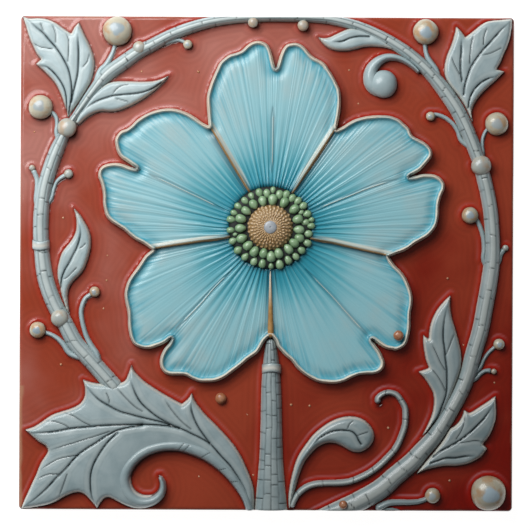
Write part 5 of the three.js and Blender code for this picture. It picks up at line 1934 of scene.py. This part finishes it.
SCROLL = [
    (46.8, 59.0, 1.0), (45.2, 60.6, 1.3), (43, 62.3, 1.7), (40, 63.6, 2), (37, 63.8, 2.4),
    (34.4, 62.7, 3), (32.3, 60.4, 3.8), (31.8, 57.9, 4.6), (32.6, 55.6, 5.4), (34.6, 54.2, 5.4),
    (36.6, 54.2, 5),
]
SCROLL_BALL = (35.7, 55.5, 4.3)


def build_leaves(finishes: Finishes) -> None:
    """Builds the nine leaves, the acanthus leaf's roll and the scroll."""
    for leaf in LEAVES:
        leaf.build(finishes)
    roll = Bar(
        "acanthus_roll", ACANTHUS_ROLL, 3.6, growth=Growth.ROLL, across=30, step=0.34, cracks=ROLL_CRACKS
    )
    roll.build(finishes.leaf)
    Bar("scroll", SCROLL, 3.0, across=26, step=0.25).build(finishes.leaf)
    x, y, radius = SCROLL_BALL
    ball = glazed_ball((x, y), radius, 0.9, 0.0, np.random.default_rng(4))
    finish_piece(join_pieces("scroll_ball", [ball]), finishes.leaf)


# The body


@dataclass
class Form:
    """The outline of a raised form in plan, which the ground's glaze gathers round."""

    line: Array
    closed: bool
    half_widths: Optional[Array] = None

    def gap(self, points: Array) -> Array:
        """How far outside the form points lie; 0 or less inside it."""
        if self.closed:
            away = distance_to(self.line, points, closed=True)
            return np.where(points_inside(self.line, points), -away, away)
        gap, spot = nearest_on(self.line, points)
        place = np.argmin(np.abs(spot[:, None, 0] - self.line[None, :, 0])
                          + np.abs(spot[:, None, 1] - self.line[None, :, 1]), axis=1)
        return gap - self.half_widths[place]


def all_forms(vine: Vine, berries: Berries) -> list[Form]:
    """Lists the plan of everything that stands on the ground."""
    forms = [Form(closed_outline(leaf.outline, 1.2), True) for leaf in LEAVES]
    rim = np.vstack([np.array(petal.rim, float) for petal in PETALS])
    forms.append(Form(rim, True))
    for bar in (vine.ring, vine.stem, vine.tendril, SCROLL, ACANTHUS_ROLL, *vine.stalks):
        rows = open_curve(bar, 1.2)
        forms.append(Form(rows[:, :2], False, rows[:, 2] / 2))
    for x, y, radius in (*berries.creams, *berries.knots, *berries.twig_tips, SCROLL_BALL):
        dot = np.array([[x - 0.01, y], [x + 0.01, y]])
        forms.append(Form(dot, False, np.full(2, radius)))
    return forms


@dataclass
class Body:
    """The clay slab with its key grooves, and the glazed ground over it."""

    cells: int = 300
    arris_lines: int = 7
    arris_zone: float = 1.3
    groove_width: float = 8.0
    groove_depth: float = 1.2
    groove_pitch: float = 16.0
    groove_margin: float = 9.0
    clay_inset: float = 0.12
    clay_top: float = 7.4
    glaze_edge: float = 5.6
    gather_height: float = 0.42
    gather_width: float = 0.6
    ripple_height: float = 0.035
    ripples: int = 7
    sunk: float = 0.5
    seed: int = 41

    def grid_lines(self) -> Array:
        """Where the ground's grid lines lie: close at the arris, even between."""
        inner = SIZES.half - self.arris_zone
        edge = SIZES.half - self.arris_zone * np.linspace(1, 0, self.arris_lines + 1)[1:] ** 1.6
        even = np.linspace(-inner, inner, self.cells + 1 - 2 * self.arris_lines)
        return np.concatenate([-edge[::-1], even, edge])

    def rounded(self, x: Array, y: Array) -> tuple[Array, Array, Array]:
        """Rounds the plan's corners.

        Returns:
            The new x and y, and how far each vertex lies inside the rounded side.
        """
        knee = SIZES.half - self.arris_zone
        a, b = np.maximum(np.abs(x) - knee, 0), np.maximum(np.abs(y) - knee, 0)
        longest = np.maximum(a, b)
        shrink = np.where(np.minimum(a, b) > 0, longest / np.maximum(np.hypot(a, b), 1e-9), 1)
        corner = np.minimum(a, b) > 0
        x = np.where(corner, np.sign(x) * (knee + a * shrink), x)
        y = np.where(corner, np.sign(y) * (knee + b * shrink), y)
        return x, y, self.arris_zone - longest

    def build_ground(self, finishes: Finishes, forms: Sequence[Form]) -> None:
        """The ground's skin of glaze, gathered round the forms and thin over the arris."""
        piece, column, row = add_grid("ground_glaze", self.cells, self.cells)
        lines = self.grid_lines()
        x, y, inside = self.rounded(lines[column], lines[row])
        plan = np.stack([x, y], 1)
        gap = np.full(len(plan), FAR)
        for form in forms:
            reach = 5 + (0 if form.half_widths is None else form.half_widths.max())
            low, high = form.line.min(0) - reach, form.line.max(0) + reach
            near = ((plan > low) & (plan < high)).all(1)
            gap[near] = np.minimum(gap[near], form.gap(plan[near]))
        across = held(1 - inside / SIZES.arris)
        drop = SIZES.arris * (1 - np.sqrt(np.maximum(1 - across**2, 0)))
        meniscus = self.gather_height * np.exp(-np.maximum(gap, 0) / self.gather_width) * (gap > 0)
        roll = 0.1 * bump_at(inside - 1.3, 0.8)
        rng = np.random.default_rng(self.seed)
        ripple = sum(
            self.ripple_height * np.sin(plan @ rng.normal(0, 0.22, 2) + rng.uniform(0, math.tau))
            for _ in range(self.ripples)
        )
        sunk = -self.sunk * (gap < -0.7)
        height = meniscus + roll + ripple * held(gap / 3) + sunk
        write_points(piece, np.stack([x, y, SIZES.ground + height - drop], 1))
        contact_and_shadow = self.paint_gathering(piece, gap, column, row)
        self.paint_edges(piece, plan, inside, contact_and_shadow)
        self.close_sides(piece)
        finish_piece(piece, finishes.ground)

    def paint_gathering(self, piece: Piece, gap: Array, column: Array, row: Array) -> Array:
        """Paints the red at the forms' foot with painted light on their upper sides, the painted
        highlight line beyond it, and the faint rings.

        Args:
            piece: The ground.
            gap: How far outside the nearest form each vertex lies.
            column: Each vertex's column in the grid.
            row: Each vertex's row.

        Returns:
            How dark the glaze is painted against the forms: a dark line all round, and painted shadow on
            their lower sides.
        """
        lines = self.grid_lines()
        field = np.zeros((len(lines), len(lines)))
        field[row, column] = gap
        down, across = np.gradient(field, lines, lines)
        # Which way each spot lies from its form, up towards the key light for painted light, down for
        # painted shadow
        facing = np.clip(0.95 * down[row, column] - 0.3 * across[row, column], -1, 1)
        upper, lower = held(facing), held(-facing)
        broken = 0.6 + 0.4 * np.sin(column / 9) * np.sin(row / 7)
        outside = np.maximum(gap, 0)
        # Thick glaze at the foot with painted light on the upper sides, and a painted highlight line
        # beyond it
        foot = np.exp(-np.maximum(gap - 0.4, 0) / 0.7) * (0.35 + 0.4 * upper)
        paint(piece, foot=foot, crest=bump_at(gap - 1.2, 0.28) * upper**1.2 * broken * 0.3)
        rings = 0.5 + 0.5 * np.sin(outside * math.tau / 1.7 + 2 * np.sin(column / 23))
        paint(piece, streak=rings * np.exp(-outside / 5) * (gap > 1))
        # A dark line against every form, and painted shadow on the lower sides
        contact_and_shadow = (0.3 + 0.5 * lower) * bump_at(np.maximum(gap - 0.1, 0), 0.4)
        soft = 0.3 * lower * np.exp(-outside / 1.6)
        return np.maximum(contact_and_shadow, soft)

    def paint_edges(self, piece: Piece, plan: Array, inside: Array, contact_and_shadow: Array) -> None:
        """Paints where the glaze is thin and buff at the arris, and the dark line beside it."""
        rng = np.random.default_rng(self.seed + 1)
        places = np.linspace(-160, 160, 500)
        worn = np.interp(plan.sum(1), places, noise_line(rng, 500, (20, 60, 120)))
        depth = SIZES.edge_distance(*plan.T)
        left_low = (plan[:, 0] < -SIZES.half + 6) & (plan[:, 1] < -38)
        band = np.where(left_low, 1.3, 0.5) + 0.4 * worn
        edge = held((band - depth) / 0.6) * np.where(left_low, 0.75, 0.45)
        paint(piece, edge=edge)
        line = 0.7 * held(1 - inside / 0.22)
        # With the dark line and the painted shadow against the forms
        paint(piece, pool=np.maximum(line, contact_and_shadow))

    def close_sides(self, piece: Piece) -> None:
        """Draws the glaze down the sides to an uneven edge, and closes it inside the clay."""
        bpy.ops.object.mode_set(mode="EDIT")
        bpy.ops.mesh.select_mode(type="EDGE")
        bpy.ops.mesh.select_all(action="DESELECT")
        bpy.ops.mesh.select_non_manifold()
        bpy.ops.mesh.extrude_region_move()
        bpy.ops.object.mode_set(mode="OBJECT")
        chosen = np.zeros(len(piece.data.vertices), bool)
        piece.data.vertices.foreach_get("select", chosen)
        points = read_points(piece)
        turn = np.arctan2(points[:, 1], points[:, 0])
        runs = 0.35 * np.sin(turn * 17) + 0.25 * np.sin(turn * 41 + 1) + 0.18 * np.sin(turn * 97)
        points[chosen, 2] = self.glaze_edge + runs[chosen]
        write_points(piece, points)
        bpy.ops.object.mode_set(mode="EDIT")
        inward = (SIZES.half - 0.5) / SIZES.half
        bpy.ops.mesh.extrude_region_move()
        bpy.ops.transform.resize(value=(inward, inward, 1), center_override=(0, 0, 0))
        bpy.ops.mesh.edge_face_add()
        bpy.ops.mesh.select_all(action="SELECT")
        bpy.ops.mesh.normals_make_consistent(inside=False)
        bpy.ops.object.mode_set(mode="OBJECT")

    def build_slab(self, finishes: Finishes) -> None:
        """The bare clay under the glaze, with the key grooves cut in its back."""
        side = (SIZES.side - 2 * self.clay_inset) * MM
        top = self.clay_top * MM
        slab = self.block("tile_body", (side, side, top), (0, 0, self.clay_top / 2 * MM))
        bevel = slab.modifiers.new("soft edges", "BEVEL")
        bevel.width = 0.9 * MM
        bevel.segments = 4
        bpy.ops.object.modifier_apply(modifier=bevel.name)
        reach = SIZES.half - self.groove_margin - self.groove_width / 2
        length = (SIZES.side - 2 * self.groove_margin) * MM
        size = (length, self.groove_width * MM, self.groove_depth * 2 * MM)
        offset = self.groove_pitch / 2
        while offset <= reach:
            for way in (-1, 1):
                cutter = self.block("cutter", size, (0, way * offset * MM, 0))
                self.cut(slab, cutter)
            offset += self.groove_pitch
        select_only(slab)
        bpy.ops.object.mode_set(mode="EDIT")
        bpy.ops.mesh.select_all(action="SELECT")
        bpy.ops.mesh.remove_doubles(threshold=0.005 * MM)
        bpy.ops.object.mode_set(mode="OBJECT")
        finish_piece(slab, finishes.clay)

    def block(self, name: str, size: tuple, place: tuple) -> Piece:
        """Adds a block and sets its size and place into its mesh."""
        deselect_everything()
        bpy.ops.mesh.primitive_cube_add(size=1, location=place)
        piece = bpy.context.object
        piece.name = name
        piece.data.name = name
        piece.scale = size
        bpy.ops.object.transform_apply(location=True, rotation=True, scale=True)
        return piece

    def cut(self, piece: Piece, cutter: Piece) -> None:
        """Cuts one solid out of another and removes the cutter."""
        select_only(piece)
        boolean = piece.modifiers.new("key groove", "BOOLEAN")
        boolean.operation = "DIFFERENCE"
        boolean.object = cutter
        bpy.ops.object.modifier_apply(modifier=boolean.name)
        bpy.data.objects.remove(cutter)

    def build(self, finishes: Finishes, forms: Sequence[Form]) -> None:
        """Builds the slab and the ground."""
        self.build_slab(finishes)
        self.build_ground(finishes, forms)


# The studio


@dataclass
class Studio:
    """A plain pale floor, soft light from the tile's upper left, and a camera straight down."""

    camera_height: float = 0.7
    look: tuple[float, float] = (-0.000465, -0.000434)
    field: float = 0.16355
    sensor: float = 36.0
    floor_side: float = 4.0
    roll: float = math.radians(0.27)
    floor_drop: float = 0.0002
    floor_grey: float = 0.3
    floor_glow: float = 0.95
    key_place: tuple[float, float, float] = (-0.18, 0.23, 0.32)
    key_size: tuple[float, float] = (0.34, 0.26)
    key_power: float = 2.35
    world_colour: Colour = (0.97, 0.98, 1.0)
    world_strength: float = 0.14

    def build_floor(self) -> None:
        """The floor that the tile lies on."""
        deselect_everything()
        bpy.ops.mesh.primitive_plane_add(size=self.floor_side, location=(0, 0, -self.floor_drop))
        floor = bpy.context.object
        floor.name = "studio_floor"
        material = bpy.data.materials.new("studio_paper")
        material.use_nodes = True
        shader = material.node_tree.nodes["Principled BSDF"]
        shader.inputs["Base Color"].default_value = (*[self.floor_grey] * 3, 1)
        shader.inputs["Emission Color"].default_value = (1, 1, 1, 1)
        shader.inputs["Emission Strength"].default_value = self.floor_glow
        shader.inputs["Roughness"].default_value = 0.9
        shader.inputs["Specular IOR Level"].default_value = 0.1
        floor.data.materials.append(material)

    def build_camera(self) -> None:
        """The camera, over the tile's face, the flower's top towards the picture's top."""
        data = bpy.data.cameras.new("camera")
        data.sensor_width = self.sensor
        distance = self.camera_height - SIZES.ground * MM
        data.lens = self.sensor * distance / self.field
        data.clip_start = 0.01
        camera = bpy.data.objects.new("camera", data)
        camera.location = (*self.look, self.camera_height)
        camera.rotation_euler = (0, 0, self.roll)
        bpy.context.scene.collection.objects.link(camera)
        bpy.context.scene.camera = camera

    def build_light(self) -> None:
        """A broad soft panel off the tile's upper left that faces it, and a pale world."""
        data = bpy.data.lights.new("key_panel", "AREA")
        data.shape = "RECTANGLE"
        data.size, data.size_y = self.key_size
        data.energy = self.key_power
        light = bpy.data.objects.new("key_panel", data)
        light.location = self.key_place
        direction = -light.location
        light.rotation_euler = direction.to_track_quat("-Z", "Y").to_euler()
        bpy.context.scene.collection.objects.link(light)
        world = bpy.data.worlds.new("studio")
        world.use_nodes = True
        background = world.node_tree.nodes["Background"]
        background.inputs["Color"].default_value = (*self.world_colour, 1)
        background.inputs["Strength"].default_value = self.world_strength
        bpy.context.scene.world = world

    def build(self) -> None:
        """Sets up the studio."""
        self.build_floor()
        self.build_camera()
        self.build_light()
        bpy.context.scene.view_settings.view_transform = "Standard"


SEAM_RIDGE = [(1.15, -1, 0.7), (1.2, -6, 0.9), (1.3, -13, 1.5), (1.4, -22.8, 2.1)]


def main() -> None:
    """Builds the tile and the studio."""
    finishes = Finishes()
    vine, berries = Vine(), Berries()
    Body().build(finishes, all_forms(vine, berries))
    for petal in PETALS:
        petal.build(finishes)
    ridge = Bar("seam_ridge", SEAM_RIDGE, 1.0, growth=Growth.SEAM, base=SIZES.petal_floor + 0.2)
    ridge.build(finishes.ridge)
    FlowerCentre().build(finishes)
    build_leaves(finishes)
    vine.build(finishes)
    berries.build(finishes)
    Studio().build()


if __name__ == "__main__":
    main()
